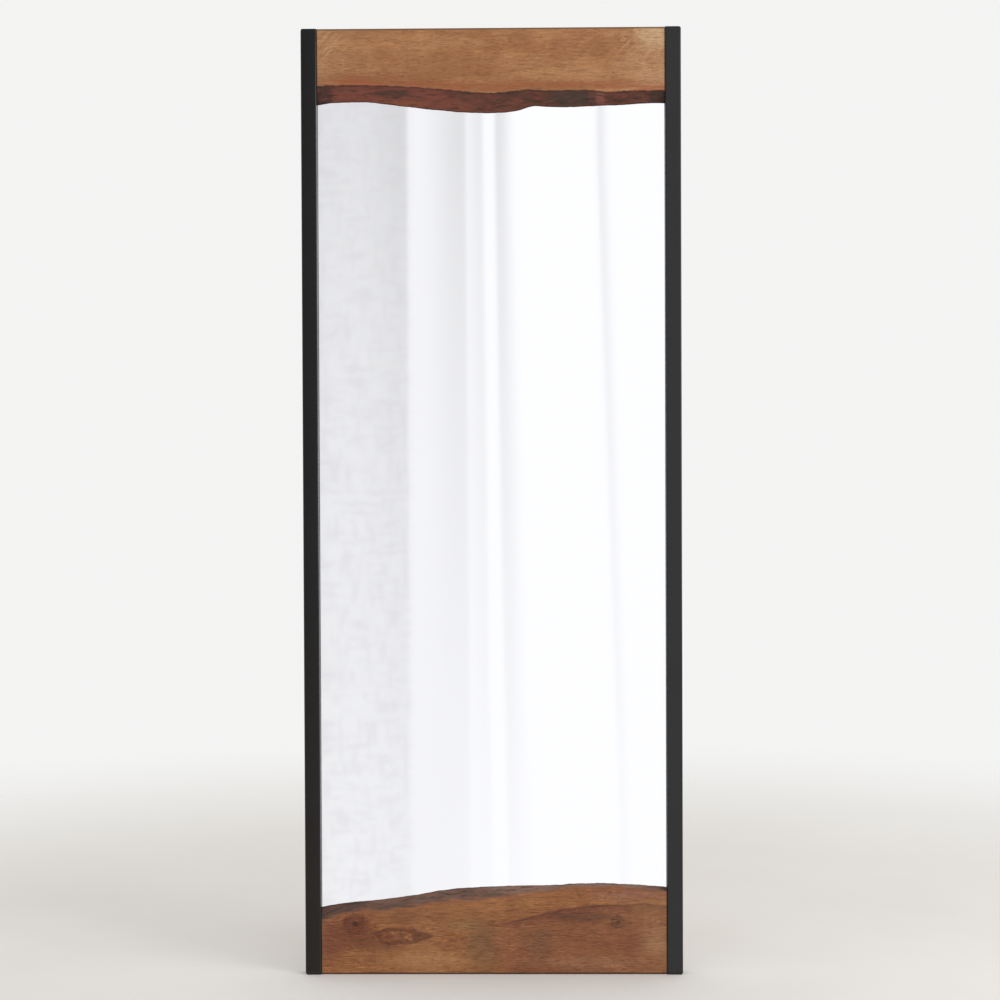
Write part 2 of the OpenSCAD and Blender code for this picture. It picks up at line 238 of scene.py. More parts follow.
class Graph:
    """Short calls that add nodes to one shader tree."""

    MIX_FACTOR, MIX_A, MIX_B, MIX_RESULT = 0, 6, 7, 2

    def __init__(self, tree: bpy.types.NodeTree) -> None:
        """Keeps the tree that the calls add to."""
        self.tree = tree

    @classmethod
    def fresh(cls, owner: bpy.types.Material | bpy.types.World) -> Graph:
        """The emptied graph of a new material or world."""
        owner.use_nodes = True
        owner.node_tree.nodes.clear()
        return cls(owner.node_tree)

    def node(self, kind: str, **settings: object) -> bpy.types.Node:
        """Adds a node of one of Blender's types, with its settings."""
        made = self.tree.nodes.new(kind)
        for name, value in settings.items():
            setattr(made, name, value)
        return made

    def feed(self, socket: bpy.types.NodeSocket, value: object) -> None:
        """Links an output to an input, or sets the input's own value."""
        if isinstance(value, Value):
            self.tree.links.new(value.socket, socket)
        else:
            socket.default_value = value

    def fill(self, node: bpy.types.Node, values: dict[str, object]) -> None:
        """Feeds several inputs of a node, given by their names."""
        for name, value in values.items():
            self.feed(node.inputs[name], value)

    def chain(self, node: bpy.types.Node, *values: object, result: object = 0) -> Value:
        """Feeds the first inputs of a node in their order and gives one of its outputs."""
        for socket, value in zip(node.inputs, values):
            self.feed(socket, value)
        return Value(self, node.outputs[result])

    def math(self, operation: str, a: object, b: object = 0.0, clamp: bool = False) -> Value:
        """The result of an operation, kept from 0 to 1 where clamp is set."""
        return self.chain(
            self.node("ShaderNodeMath", operation=operation, use_clamp=clamp), a, b)

    def join(self, x: object, y: object, z: object) -> Value:
        """A vector made of three coordinates."""
        return self.chain(self.node("ShaderNodeCombineXYZ"), x, y, z)

    def mix(self, share: object, below: object, above: object, blend: str = "MIX") -> Value:
        """Mixes two colours.

        Args:
            share: How strongly the upper one shows, from 0 to 1.
            below: The lower colour.
            above: The upper colour.
            blend: Blender's name of the way that they mix.

        Returns:
            The colour.
        """
        made = self.node("ShaderNodeMix", data_type="RGBA", blend_type=blend)
        self.feed(made.inputs[self.MIX_FACTOR], share)
        self.feed(made.inputs[self.MIX_A], below)
        self.feed(made.inputs[self.MIX_B], above)
        return Value(self, made.outputs[self.MIX_RESULT])

    def place(self) -> Value:
        """The place on the piece, in metres in the model's frame."""
        return self.chain(self.node("ShaderNodeTexCoord"), result="Object")

    def blend(self, share: object, first: Value, second: Value) -> Value:
        """Mixes two shaders, with a share of the second."""
        return self.chain(self.node("ShaderNodeMixShader"), share, first, second)

    def shade(self, kind: str, colour: object) -> Value:
        """Adds a shader that has only a colour."""
        made = self.node(kind)
        self.feed(made.inputs["Color"], colour)
        return Value(self, made.outputs[0])

    def clear(self) -> Value:
        """Adds a shader that lets all light through."""
        return self.chain(self.node("ShaderNodeBsdfTransparent"))

    def sink(self, kind: str, shader: Value) -> None:
        """Adds the output node and links a shader to its surface."""
        self.feed(self.node(kind).inputs["Surface"], shader)


class SharedEffect:
    """A shader node group with one output, which several finishes use and which is built once."""

    name = "shared_effect"
    inputs: dict[str, str] = {}
    output = "Value"

    @classmethod
    def tree(cls) -> bpy.types.NodeTree:
        """The group, which is made at the first call."""
        found = bpy.data.node_groups.get(cls.name)
        if found:
            return found
        tree = bpy.data.node_groups.new(cls.name, "ShaderNodeTree")
        for name, kind in cls.inputs.items():
            tree.interface.new_socket(
                name=name, in_out="INPUT", socket_type="NodeSocket" + kind)
        tree.interface.new_socket(name=cls.output, in_out="OUTPUT", socket_type="NodeSocketFloat")
        graph = Graph(tree)
        given = graph.node("NodeGroupInput").outputs
        result = cls.build(*(Value(graph, given[name]) for name in cls.inputs))
        graph.fill(graph.node("NodeGroupOutput"), {cls.output: result})
        return tree

    @classmethod
    def build(cls, place: Value, *settings: Value) -> Value:
        """Makes the group's nodes.

        Args:
            place: The group's first input.
            *settings: Its other inputs.

        Returns:
            Its output.
        """
        raise NotImplementedError

    @classmethod
    def use(cls, place: Value, settings: Grain | Scatter | Spot) -> Value:
        """Places the group in a material, with its settings for all inputs but the place."""
        made = place.graph.node("ShaderNodeGroup", node_tree=cls.tree())
        return place.graph.chain(made, place, *astuple(settings))


class Fibres(SharedEffect):
    """Noise that is drawn out along one direction, as grain, bark or brushing is."""

    WANDER = Cloud(5.0)

    name = "fibres"
    inputs = {"Place": "Vector", "Waves": "Vector", "Detail": "Float", "Wander": "Float"}

    @classmethod
    def build(cls, place: Value, waves: Value, detail: Value, wander: Value) -> Value:
        """Stretches a noise and lets its lines wander. See SharedEffect.build."""
        bent = place.raised(place.noise(cls.WANDER).swing(wander))
        return bent.vector("MULTIPLY", waves).noise(Cloud(1.0, detail))


class Specks(SharedEffect):
    """Scattered small specks, such as pores, dust or the texture of a coat."""

    TEXTURE = Cloud(1.0, 1.0)

    name = "specks"
    inputs = {"Place": "Vector", "Waves": "Vector", "Threshold": "Float", "Softness": "Float"}
    output = "Mask"

    @classmethod
    def build(cls, place: Value, waves: Value, threshold: Value, softness: Value) -> Value:
        """Cuts a noise at a threshold. See SharedEffect.build."""
        texture = place.vector("MULTIPLY", waves).noise(cls.TEXTURE)
        return texture.step((threshold, threshold + softness))


class Knot(SharedEffect):
    """Distance from a knot or stain, in shares of its half size, with a ragged outline."""

    RAGGED = Cloud(130.0, 3.0)

    name = "knot"
    inputs = {"Place": "Vector", "Centre": "Vector", "Spread": "Vector", "Raggedness": "Float"}
    output = "Distance"

    @classmethod
    def build(cls, place: Value, centre: Value, spread: Value, ragged: Value) -> Value:
        """Measures an ellipse and roughens its outline. See SharedEffect.build."""
        shares = place.vector("SUBTRACT", centre).vector("MULTIPLY", spread)
        return shares.vector("LENGTH") + place.noise(cls.RAGGED).swing(ragged)


class Finish:
    """A surface finish. A subclass gives its name and the inputs of its shader."""

    name: str

    def material(self) -> bpy.types.Material:
        """The material, which is made at the first call."""
        found = bpy.data.materials.get(self.name)
        if found:
            return found
        made = bpy.data.materials.new(self.name)
        graph = Graph.fresh(made)
        shader = graph.node("ShaderNodeBsdfPrincipled")
        graph.fill(shader, self.looks(graph.place()))
        graph.sink("ShaderNodeOutputMaterial", Value(graph, shader.outputs[0]))
        return made

    def looks(self, place: Value) -> dict[str, object]:
        """What the Principled shader is fed.

        Args:
            place: The place on the piece.

        Returns:
            Outputs and plain values, by the names of the shader's inputs.
        """
        raise NotImplementedError


@dataclass(frozen=True)
class PowderCoat(Finish):
    """Satin powder coat on steel, with a fine orange-peel texture and a little dust."""

    name: str = "black_powder_coat"
    colour: Colour = srgb(16, 16, 16)
    lighter: Colour = srgb(20, 20, 19)
    cloud: Cloud = Cloud(7.0, 4.0, 0.6)
    cloud_edges: Pair = (0.3, 0.75)
    dust: Colour = srgb(44, 43, 41)
    dust_specks: Scatter = Scatter((1600.0, 1600.0, 1600.0), 0.66, 0.08)
    dust_share: float = 0.35
    roughness: float = 0.14
    rough_swing: float = 0.12
    peel: Cloud = Cloud(900.0)
    relief: Relief = Relief(0.008 * MM, 0.5)
    gloss: float = 0.42

    def looks(self, place: Value) -> dict[str, object]:
        """See Finish.looks."""
        cloud = place.noise(self.cloud)
        tone = cloud.step(self.cloud_edges).mix(self.colour, self.lighter)
        dusty = Specks.use(place, self.dust_specks) * self.dust_share
        return {
            "Base Color": dusty.mix(tone, self.dust),
            "Roughness": cloud.swing(self.rough_swing) + self.roughness,
            "Normal": place.noise(self.peel).bump(self.relief),
            "Specular IOR Level": self.gloss,
        }


@dataclass(frozen=True)
class MouldedPlastic(Finish):
    """Dull moulded plastic or rubber with a fine eroded texture."""

    name: str = "moulded_plastic"
    colour: Colour = srgb(26, 26, 26)
    worn: Colour = srgb(46, 45, 43)
    roughness: float = 0.62
    wear: Cloud = Cloud(60.0, 5.0, 0.65)
    wear_edges: Pair = (0.5, 0.8)
    worn_rougher: float = 0.15
    texture: Cloud = Cloud(1400.0)
    relief: Relief = Relief(0.05 * MM, 0.6)
    gloss: float = 0.35

    def looks(self, place: Value) -> dict[str, object]:
        """See Finish.looks."""
        worn = place.noise(self.wear).step(self.wear_edges)
        return {
            "Base Color": worn.mix(self.colour, self.worn),
            "Roughness": worn * self.worn_rougher + self.roughness,
            "Normal": place.noise(self.texture).bump(self.relief),
            "Specular IOR Level": self.gloss,
        }


@dataclass(frozen=True)
class PlatedSteel(Finish):
    """Plated steel with faint brushing and a few dull spots."""

    name: str = "zinc_plating"
    colour: Colour = srgb(188, 189, 192)
    dull: Colour = srgb(142, 142, 144)
    roughness: float = 0.3
    spots: Cloud = Cloud(160.0, 4.0, 0.6)
    spot_edges: Pair = (0.48, 0.72)
    spots_rougher: float = 0.2
    brushing: Grain = Grain((300.0, 300.0, 2600.0), 2.0)
    brush_swing: float = 0.2
    relief: Relief = Relief(0.02 * MM, 0.4)

    def looks(self, place: Value) -> dict[str, object]:
        """See Finish.looks."""
        spots = place.noise(self.spots).step(self.spot_edges)
        brush = Fibres.use(place, self.brushing)
        rough = spots * self.spots_rougher + self.roughness
        return {
            "Base Color": spots.mix(self.colour, self.dull),
            "Roughness": rough + brush.swing(self.brush_swing),
            "Normal": brush.bump(self.relief),
            "Metallic": 1.0,
        }


@dataclass(frozen=True)
class SilveredGlass(Finish):
    """Mirror glass, with the faintest traces of wiping."""

    name: str = "silvered_glass"
    colour: Colour = (0.955, 0.965, 0.962, 1.0)
    wiped: Colour = (0.935, 0.945, 0.943, 1.0)
    wipes: Grain = Grain((3.0, 3.0, 9.0), 3.0, 0.2)
    wipe_edges: Pair = (0.5, 0.8)
    wiped_roughness: float = 0.002

    def looks(self, place: Value) -> dict[str, object]:
        """See Finish.looks."""
        traces = Fibres.use(place, self.wipes).step(self.wipe_edges)
        return {
            "Base Color": traces.mix(self.colour, self.wiped),
            "Roughness": traces * self.wiped_roughness,
            "Metallic": 1.0,
        }


@dataclass(frozen=True)
class FoamTape(Finish):
    """White foam tape with open cells along its edges."""

    name: str = "foam_tape"
    colour: Colour = srgb(226, 222, 210)
    shade: Colour = srgb(196, 190, 176)
    cells: Cloud = Cloud(1800.0)
    relief: Relief = Relief(0.1 * MM, 0.6)
    roughness: float = 0.8

    def looks(self, place: Value) -> dict[str, object]:
        """See Finish.looks."""
        cells = place.noise(self.cells)
        return {
            "Base Color": cells.mix(self.colour, self.shade),
            "Normal": cells.bump(self.relief),
            "Roughness": self.roughness,
        }


@dataclass(frozen=True)
class Fibreboard(Finish):
    """Raw fibreboard with short pressed fibres and darker flecks."""

    name: str = "raw_fibreboard"
    colour: Colour = srgb(176, 144, 104)
    fibre: Colour = srgb(150, 118, 82)
    upright: Grain = Grain((1100.0, 420.0, 420.0), 3.0, 0.02)
    level: Grain = Grain((420.0, 420.0, 1100.0), 3.0, 0.02)
    felt_edges: Pair = (0.5, 0.75)
    cloudy: Colour = srgb(160, 130, 94)
    cloud: Cloud = Cloud(9.0, 4.0, 0.6)
    cloud_share: float = 0.4
    fleck: Colour = srgb(104, 78, 52)
    flecks: Scatter = Scatter((500.0, 500.0, 900.0), 0.7, 0.05)
    fleck_share: float = 0.7
    relief: Relief = Relief(0.08 * MM, 0.6)
    roughness: float = 0.78
    gloss: float = 0.3

    def looks(self, place: Value) -> dict[str, object]:
        """See Finish.looks."""
        felt = Fibres.use(place, self.upright).larger(Fibres.use(place, self.level))
        tone = felt.step(self.felt_edges).mix(self.colour, self.fibre)
        tone = (place.noise(self.cloud) * self.cloud_share).mix(tone, self.cloudy)
        flecked = Specks.use(place, self.flecks) * self.fleck_share
        return {
            "Base Color": flecked.mix(tone, self.fleck),
            "Normal": felt.bump(self.relief),
            "Roughness": self.roughness,
            "Specular IOR Level": self.gloss,
        }


class MarkKind(Enum):
    """What a mark in the wood looks like."""

    KNOT = "round knot with a dark core and rings"
    EYE = "long almond with a dark rim and a paler middle"
    STAIN = "soft patch of another colour"
    CURL = "slanted bands of light and shade"


@dataclass(frozen=True)
class Mark:
    """One mark on a board.

    Attributes:
        kind: What it looks like.
        middle: Its place from the middle of the board, and its height above the floor, or
            below the top for the top board, in millimetres.
        half: Half its width and half its height, in millimetres.
        levels: Its colour as a screen shows it.
        strength: How strongly it shows, from 0 to 1.
        on_bark: Whether it lies on the bark slope instead of the face.
        core_levels: Colour of a knot's core and rings, or of an eye's middle.
    """

    kind: MarkKind
    middle: Pair
    half: Pair
    levels: Levels
    strength: float = 1.0
    on_bark: bool = False
    core_levels: Levels = (60, 30, 20)

    @property
    def colour(self) -> Colour:
        """Its linear colour."""
        return srgb(*self.levels)

    @property
    def core(self) -> Colour:
        """The linear colour of its core."""
        return srgb(*self.core_levels)


knot, eye, stain, curl = (partial(Mark, kind) for kind in MarkKind)
bark_patch = partial(stain, on_bark=True)


@dataclass(frozen=True)
class BoardPalette:
    """The colours of one board."""

    light: Colour
    middle: Colour
    grain: Colour
    pore: Colour
    ruddy: Colour
    pale: Colour
    rim: Colour
    lip: Colour
    bark: Colour
    bark_light: Colour
    bark_dark: Colour
    bark_red: Colour
    bark_drab: Colour
    # edge: painted shade along the straight edge
    edge: Colour


@dataclass(frozen=True)
class Layer:
    """A colour of the palette, by its name, where a texture passes from edge to edge."""

    tone: str
    edges: Pair
    share: float


@dataclass(frozen=True)
class Border:
    """How the face meets the bark.

    Attributes:
        width: How wide the change is.
        ragged: How far the bark's tongues reach.
        tongue: Noise that draws those tongues.
        ruddy_reach: How far the ruddy band reaches on the face.
        ruddy: How strong that band is, from 0 to 1.
        shade: How strong the painted shade on the bark right at the border is, from 0 to 1.
    """

    width: float
    ragged: float
    tongue: Grain
    ruddy_reach: float
    ruddy: float
    shade: float


@dataclass(frozen=True)
class HeartLine:
    """The arched line below which the wood is darker.

    Attributes:
        middle: Place of its highest point along the board.
        height: Height of that point above the floor.
        bend: How fast it falls away, in 1/m.
        colour: Colour below it.
        band: Colour just below it.
        line: Colour of the line itself.
        start: Edges where it sets in along the board.
        depths: Edges of the three colours, below the line.
        shares: How strongly the three colours show.
        wobble: Noise that bends it, as far as wobble_reach.
        breaks: Noise that breaks the line itself up, between break_edges.
    """

    middle: float
    height: float
    bend: float
    colour: Colour
    band: Colour
    line: Colour
    start: Pair = (-0.02, 0.05)
    depths: tuple[Pair, Pair, Pair] = (
        (-1.0 * MM, 4.0 * MM), (24.0 * MM, 4.0 * MM), (6.0 * MM, 3.0 * MM))
    shares: Triple = (0.62, 0.6, 0.6)
    wobble: Cloud = Cloud(34.0, 3.0)
    wobble_reach: float = 0.01
    breaks: Cloud = Cloud(22.0)
    break_edges: Pair = (0.24, 0.46)


@dataclass(frozen=True)
class OiledBoard(Finish):
    """Oiled hardwood with its grain, marks and bark edge.

    The board's mesh gives two numbers as a UV map. V is the distance in metres past the line
    where the face meets the bark, below 0 on the face. U is the share of the bark slope, from
    0 at that line to 1 at the tip.

    Attributes:
        top: Height of the straight edge that places are measured from, or 0.
        pale_ends: How much paler the two ends are, left and right.
        heart: The line below which the wood is darker, if it shows.
        grain_shift: Offset that gives each board its own grain.
        fleck: How strong the pale and dark flecks are.
    """

    # Roughness as a gain with the height and a base, and relief
    FACE_ROUGH = (0.14, 0.44)
    BARK_ROUGH = (0.2, 0.5)
    BARK_DEPTH = 6.0
    RELIEF = Relief(0.12 * MM, 0.7)
    GLOSS = 0.3
    # Grain that bends round the knots
    BEND_EDGES = (2.6, 0.2)
    BEND = -0.55
    # Broad light and dark, bands and clouds of the face
    BROAD = Grain((8.0, 8.0, 42.0), 4.0, 0.05)
    BANDS = Grain((18.0, 60.0, 230.0), 5.0, 0.03)
    FINE = Grain((60.0, 300.0, 900.0), 4.0, 0.012)
    CLOUD = Cloud(13.0, 3.0, 0.55)
    DRIFT = Cloud(26.0, 3.0, 0.6)
    DRIFT_SHIFT = (0.4, 0.8, 0.1)
    DRIFT_REACH = 0.7
    LIGHT_EDGES = (0.3, 0.7)
    RUDDY = Layer("ruddy", (0.48, 0.72), 0.5)
    BANDED = Layer("grain", (0.5, 0.7), 0.4)
    # Rim and lip of the face along the bark
    RIM_END = -0.3 * MM
    STREAK_EDGES = (0.34, 0.6)
    LIP_EDGES = (-3.4 * MM, -1.6 * MM)
    LIP_SHARE = 0.5
    PORE_DEPTH = 0.6
    # Dashes and pores
    DARK_DASHES = Scatter((92.0, 300.0, 520.0), 0.55, 0.16)
    DARK_SHARE = 0.8
    DARK_GAIN = (0.70, 0.64, 0.58, 1.0)
    PALE_DASHES = Scatter((104.0, 300.0, 600.0), 0.55, 0.15)
    PALE_SHIFT = (0.7, 0.3, 0.9)
    PALE_GAIN = (0.22, 0.26, 0.30)
    PATCHES = Cloud(24.0)
    PATCH_EDGES = (0.36, 0.62)
    PORES = Scatter((150.0, 900.0, 1500.0), 0.6, 0.1)
    PORE_SHARE = 0.4
    LIGHTER_GAIN = (0.28, 0.31, 0.34)
    LIGHTER_CONTRAST = 2.2
    DARKER_GAIN = (-0.26, -0.30, -0.34)
    DARKER_CONTRAST = -2.6
    # Paler ends
    END_WAVE = 0.16
    END_EDGES = ((-0.2, -0.3), (0.17, 0.31))
    # Knots
    KNOT_RAGGED = 0.8
    KNOT_EDGES = (1.2, 0.5)
    KNOT_SHARE = 0.65
    KNOT_RINGS = 11.0
    RING_SHARE = 0.4
    CORE_EDGES = (0.22, 0.06)
    CORE_SHARE = 0.8
    # Eyes
    EYE_SWAY = Cloud(34.0)
    EYE_SWAY_ALONG = 0.5
    EYE_SWAY_ACROSS = 1.5
    EYE_LEAST_TAPER = 0.03
    EYE_RAGGED = Cloud(170.0, 3.0)
    EYE_RAGGED_REACH = 0.7
    EYE_ENDS = ((0.2, 0.5), (-0.45, -0.7))
    EYE_RIM = ((0.34, 0.66), (1.1, 0.8))
    EYE_OUTSIDE = (0.2, 0.6)
    EYE_SHARES = (0.75, 0.45)
    # Curls and stains
    SOFT_RAGGED = 0.9
    CURL_EDGES = (1.2, 0.4)
    CURL = Grain((105.0, 1.0, 24.0), 3.0, 0.16)
    CURL_LIT = (0.5, 0.74)
    CURL_DIM = (0.5, 0.3)
    CURL_DIM_SHARE = 0.7
    STAIN_EDGES = (1.25, 0.25)
    # Bark
    BARK_BROAD = Grain((20.0, 1.0, 60.0), 5.0, 0.06)
    BARK_ROPES = Grain((42.0, 1.0, 300.0), 5.0, 0.02)
    BARK_CHIPS = Scatter((60.0, 1.0, 420.0), 0.6, 0.08)
    BARK_PATCH = Grain((30.0, 1.0, 150.0), 5.0, 0.1)
    BARK_EDGES = (0.34, 0.66)
    PATCH_LAYERS = (Layer("bark_red", (0.53, 0.64), 0.8), Layer("bark_drab", (0.46, 0.36), 0.8))
    ROPE_LAYERS = (Layer("bark_dark", (0.5, 0.3), 0.7), Layer("bark_light", (0.56, 0.76), 0.5))
    BARK_RAGGED = 0.7
    BARK_MARK_EDGES = (1.1, 0.55)
    CHIP_EDGES = (0.15, 0.5)
    CHIP_SHARE = 0.28
    # Painted shade on the bark just past the face line, and a darker band towards the tip
    LINE_SHADE_EDGES = (3.4 * MM, 0.6 * MM)
    TIP_EDGES = (0.86, 1.0)
    TIP_SHARE = 0.7
    # Painted shade along the straight edge: the shadow line under the bottom board, a darker rim
    # along the top board's top
    EDGE_SHADE = Layer("edge", (3.4 * MM, 1.8 * MM), 0.85)

    name: str
    palette: BoardPalette
    marks: tuple[Mark, ...]
    border: Border
    top: float = 0.0
    pale_ends: Pair = (0.5, 0.5)
    heart: HeartLine | None = None
    grain_shift: Triple = (0.0, 0.0, 0.0)
    fleck: float = 1.0

    def looks(self, place: Value) -> dict[str, object]:
        """See Finish.looks."""
        graph = place.graph
        uv_map = graph.node("ShaderNodeUVMap", uv_map=LiveEdgeBoard.UV_NAME)
        slope_share, past_line, _ = Value(graph, uv_map.outputs[0]).split()
        grain_place = self.flow(place).vector("ADD", self.grain_shift)
        face, face_height = self.face_colour(place, grain_place, past_line)
        bark, bark_height = self.bark_colour(place, past_line, slope_share)
        reach = Fibres.use(place, self.border.tongue).swing(self.border.ragged)
        half = self.border.width / 2
        on_bark = (past_line + reach).step((-half, half))
        rough_face = face_height * self.FACE_ROUGH[0] + self.FACE_ROUGH[1]
        rough_bark = bark_height * self.BARK_ROUGH[0] + self.BARK_ROUGH[1]
        from_edge = self.top - place.split()[2] if self.top else place.split()[2]
        height = face_height + bark_height * on_bark * self.BARK_DEPTH
        return {
            # The straight edge's band is painted shade
            "Base Color": self.lay(self.EDGE_SHADE, from_edge, on_bark.mix(face, bark)),
            "Roughness": rough_face + (rough_bark - rough_face) * on_bark,
            "Normal": height.bump(self.RELIEF),
            "Specular IOR Level": self.GLOSS,
        }

    def lay(self, layer: Layer, texture: Value, colour: Value) -> Value:
        """Lays a colour of the palette over a colour, where a texture says."""
        mask = texture.step(layer.edges) * layer.share
        return mask.mix(colour, getattr(self.palette, layer.tone))

    def centre(self, mark: Mark) -> Triple:
        """Middle of a mark in the frame."""
        x, rise = (length * MM for length in mark.middle)
        return x, 0.0, self.top - rise if self.top else rise

    def distance(self, place: Value, mark: Mark, ragged: float) -> Value:
        """Distance from a mark's middle, in shares of its half size."""
        half_w, half_h = (length * MM for length in mark.half)
        return Knot.use(place, Spot(self.centre(mark), (1 / half_w, 0.0, 1 / half_h), ragged))

    def flow(self, place: Value) -> Value:
        """Bends the grain round the knots."""
        for mark in self.marks:
            if mark.kind in (MarkKind.KNOT, MarkKind.EYE):
                near = self.distance(place, mark, 0.0).step(self.BEND_EDGES)
                away = place.split()[2] - self.centre(mark)[2]
                place = place.raised(away * near * self.BEND)
        return place

    def face_colour(
        self, place: Value, grain_place: Value, past_line: Value
    ) -> tuple[Value, Value]:
        """Colour and height of the planed face.

        Args:
            place: Place on the board.
            grain_place: Place along the bent grain.
            past_line: Distance past the face line.

        Returns:
            The colour, and the height from 0 to 1.
        """
        wood = self.palette
        broad, bands, fine = (
            Fibres.use(grain_place, grain) for grain in (self.BROAD, self.BANDS, self.FINE))
        drift = grain_place.vector("ADD", self.DRIFT_SHIFT).noise(self.DRIFT)
        broad = broad + drift.swing(self.DRIFT_REACH)
        colour = broad.step(self.LIGHT_EDGES).mix(wood.middle, wood.light)
        colour = self.lay(self.RUDDY, grain_place.noise(self.CLOUD), colour)
        colour = self.lay(self.BANDED, bands, colour)
        colour = self.heartwood(place, colour)
        wavy = place.split()[0] + broad.swing(self.END_WAVE)
        left, right = (
            wavy.step(edges) * share for edges, share in zip(self.END_EDGES, self.pale_ends))
        colour = (left + right).mix(colour, wood.pale)
        for mark in self.marks:
            if not mark.on_bark:
                draw = getattr(self, "draw_" + mark.kind.name.lower())
                colour = draw(place, mark, colour)
        colour, pores = self.fibres(grain_place, fine, colour)
        near_line = past_line.step((-self.border.ruddy_reach, self.RIM_END))
        streaky = bands.step(self.STREAK_EDGES)
        colour = (near_line * streaky * self.border.ruddy).mix(colour, wood.rim)
        lip = past_line.step(self.LIP_EDGES) * streaky
        colour = (lip * self.LIP_SHARE).mix(colour, wood.lip)
        return colour, fine - pores * self.PORE_DEPTH

    def fibres(self, grain_place: Value, fine: Value, colour: Value) -> tuple[Value, Value]:
        """Draws the short dark and pale dashes and the pores.

        Args:
            grain_place: Place along the bent grain.
            fine: The finest grain.
            colour: Colour so far.

        Returns:
            The colour, and the pores.
        """
        pale = Specks.use(grain_place.vector("ADD", self.PALE_SHIFT), self.PALE_DASHES)
        contrast = fine - NOISE_MIDDLE
        for mask, factor in (
            (Specks.use(grain_place, self.DARK_DASHES) * self.DARK_SHARE, self.DARK_GAIN),
            (pale * grain_place.noise(self.PATCHES).step(self.PATCH_EDGES),
             self.gain(self.PALE_GAIN)),
            (contrast.limited(self.LIGHTER_CONTRAST), self.gain(self.LIGHTER_GAIN)),
            (contrast.limited(self.DARKER_CONTRAST), self.gain(self.DARKER_GAIN)),
        ):
            colour = mask.mix(colour, factor, "MULTIPLY")
        pores = Specks.use(grain_place, self.PORES)
        return (pores * self.PORE_SHARE).mix(colour, self.palette.pore), pores

    def gain(self, lifts: Triple) -> Colour:
        """A colour that lifts or darkens what it multiplies, in step with the flecks."""
        red, green, blue = (1 + lift * self.fleck for lift in lifts)
        return red, green, blue, 1.0

    def heartwood(self, place: Value, colour: Value) -> Value:
        """Darkens the wood below the heart line, most just under it."""
        heart = self.heart
        if heart is None:
            return colour
        x, _, z = place.split()
        off = x - heart.middle
        line = heart.height - off * off * heart.bend
        below = line + place.noise(heart.wobble).swing(heart.wobble_reach) - z
        under, band, thin = (below.step(edges) for edges in heart.depths)
        under = under * x.step(heart.start)
        unbroken = place.noise(heart.breaks).step(heart.break_edges)
        for mask, tone, share in zip(
                (under, under * band, under * thin * unbroken),
                (heart.colour, heart.band, heart.line), heart.shares):
            colour = (mask * share).mix(colour, tone)
        return colour

    def draw_knot(self, place: Value, mark: Mark, colour: Value) -> Value:
        """Draws a round knot over a colour."""
        distance = self.distance(place, mark, self.KNOT_RAGGED)
        area = distance.step(self.KNOT_EDGES)
        rings = place.graph.math("SINE", distance * self.KNOT_RINGS).limited(self.RING_SHARE)
        core = distance.step(self.CORE_EDGES)
        colour = (area * (self.KNOT_SHARE * mark.strength)).mix(colour, mark.colour)
        colour = (area * rings).mix(colour, mark.core)
        return (core * (self.CORE_SHARE * mark.strength)).mix(colour, mark.core)

    def draw_eye(self, place: Value, mark: Mark, colour: Value) -> Value:
        """Draws a long almond with a dark rim and a paler middle over a colour."""
        x, _, z = place.split()
        middle_x, _, middle_z = self.centre(mark)
        half_w, half_h = (length * MM for length in mark.half)
        sway = place.noise(self.EYE_SWAY) - NOISE_MIDDLE
        along = (x - middle_x) / half_w + sway * self.EYE_SWAY_ALONG
        across = (z - middle_z) / half_h + sway * self.EYE_SWAY_ACROSS
        taper = (1.0 - along * along).larger(self.EYE_LEAST_TAPER)
        distance = place.graph.math("ABSOLUTE", across) / taper
        distance = distance + place.noise(self.EYE_RAGGED).swing(self.EYE_RAGGED_REACH)
        right, left = (along.step(edges) for edges in self.EYE_ENDS)
        ends = right.larger(left)
        inner, outer = (distance.step(edges) for edges in self.EYE_RIM)
        inside = 1.0 - distance.step(self.EYE_OUTSIDE).larger(ends)
        for mask, tone, share in zip(
                (inner.larger(ends) * outer, inside), (mark.colour, mark.core), self.EYE_SHARES):
            colour = (mask * (share * mark.strength)).mix(colour, tone)
        return colour

    def draw_curl(self, place: Value, mark: Mark, colour: Value) -> Value:
        """Draws slanted bands of light and shade over a colour."""
        area = self.distance(place, mark, self.SOFT_RAGGED).step(self.CURL_EDGES)
        x, _, z = place.split()
        bands = Fibres.use(place.graph.join(x - z, 0.0, x + z), self.CURL)
        colour = (area * bands.step(self.CURL_LIT) * mark.strength).mix(colour, mark.colour)
        dim = area * bands.step(self.CURL_DIM) * (self.CURL_DIM_SHARE * mark.strength)
        return dim.mix(colour, self.palette.grain)

    def draw_stain(self, place: Value, mark: Mark, colour: Value) -> Value:
        """Draws a soft patch over a colour."""
        area = self.distance(place, mark, self.SOFT_RAGGED).step(self.STAIN_EDGES)
        return (area * mark.strength).mix(colour, mark.colour)

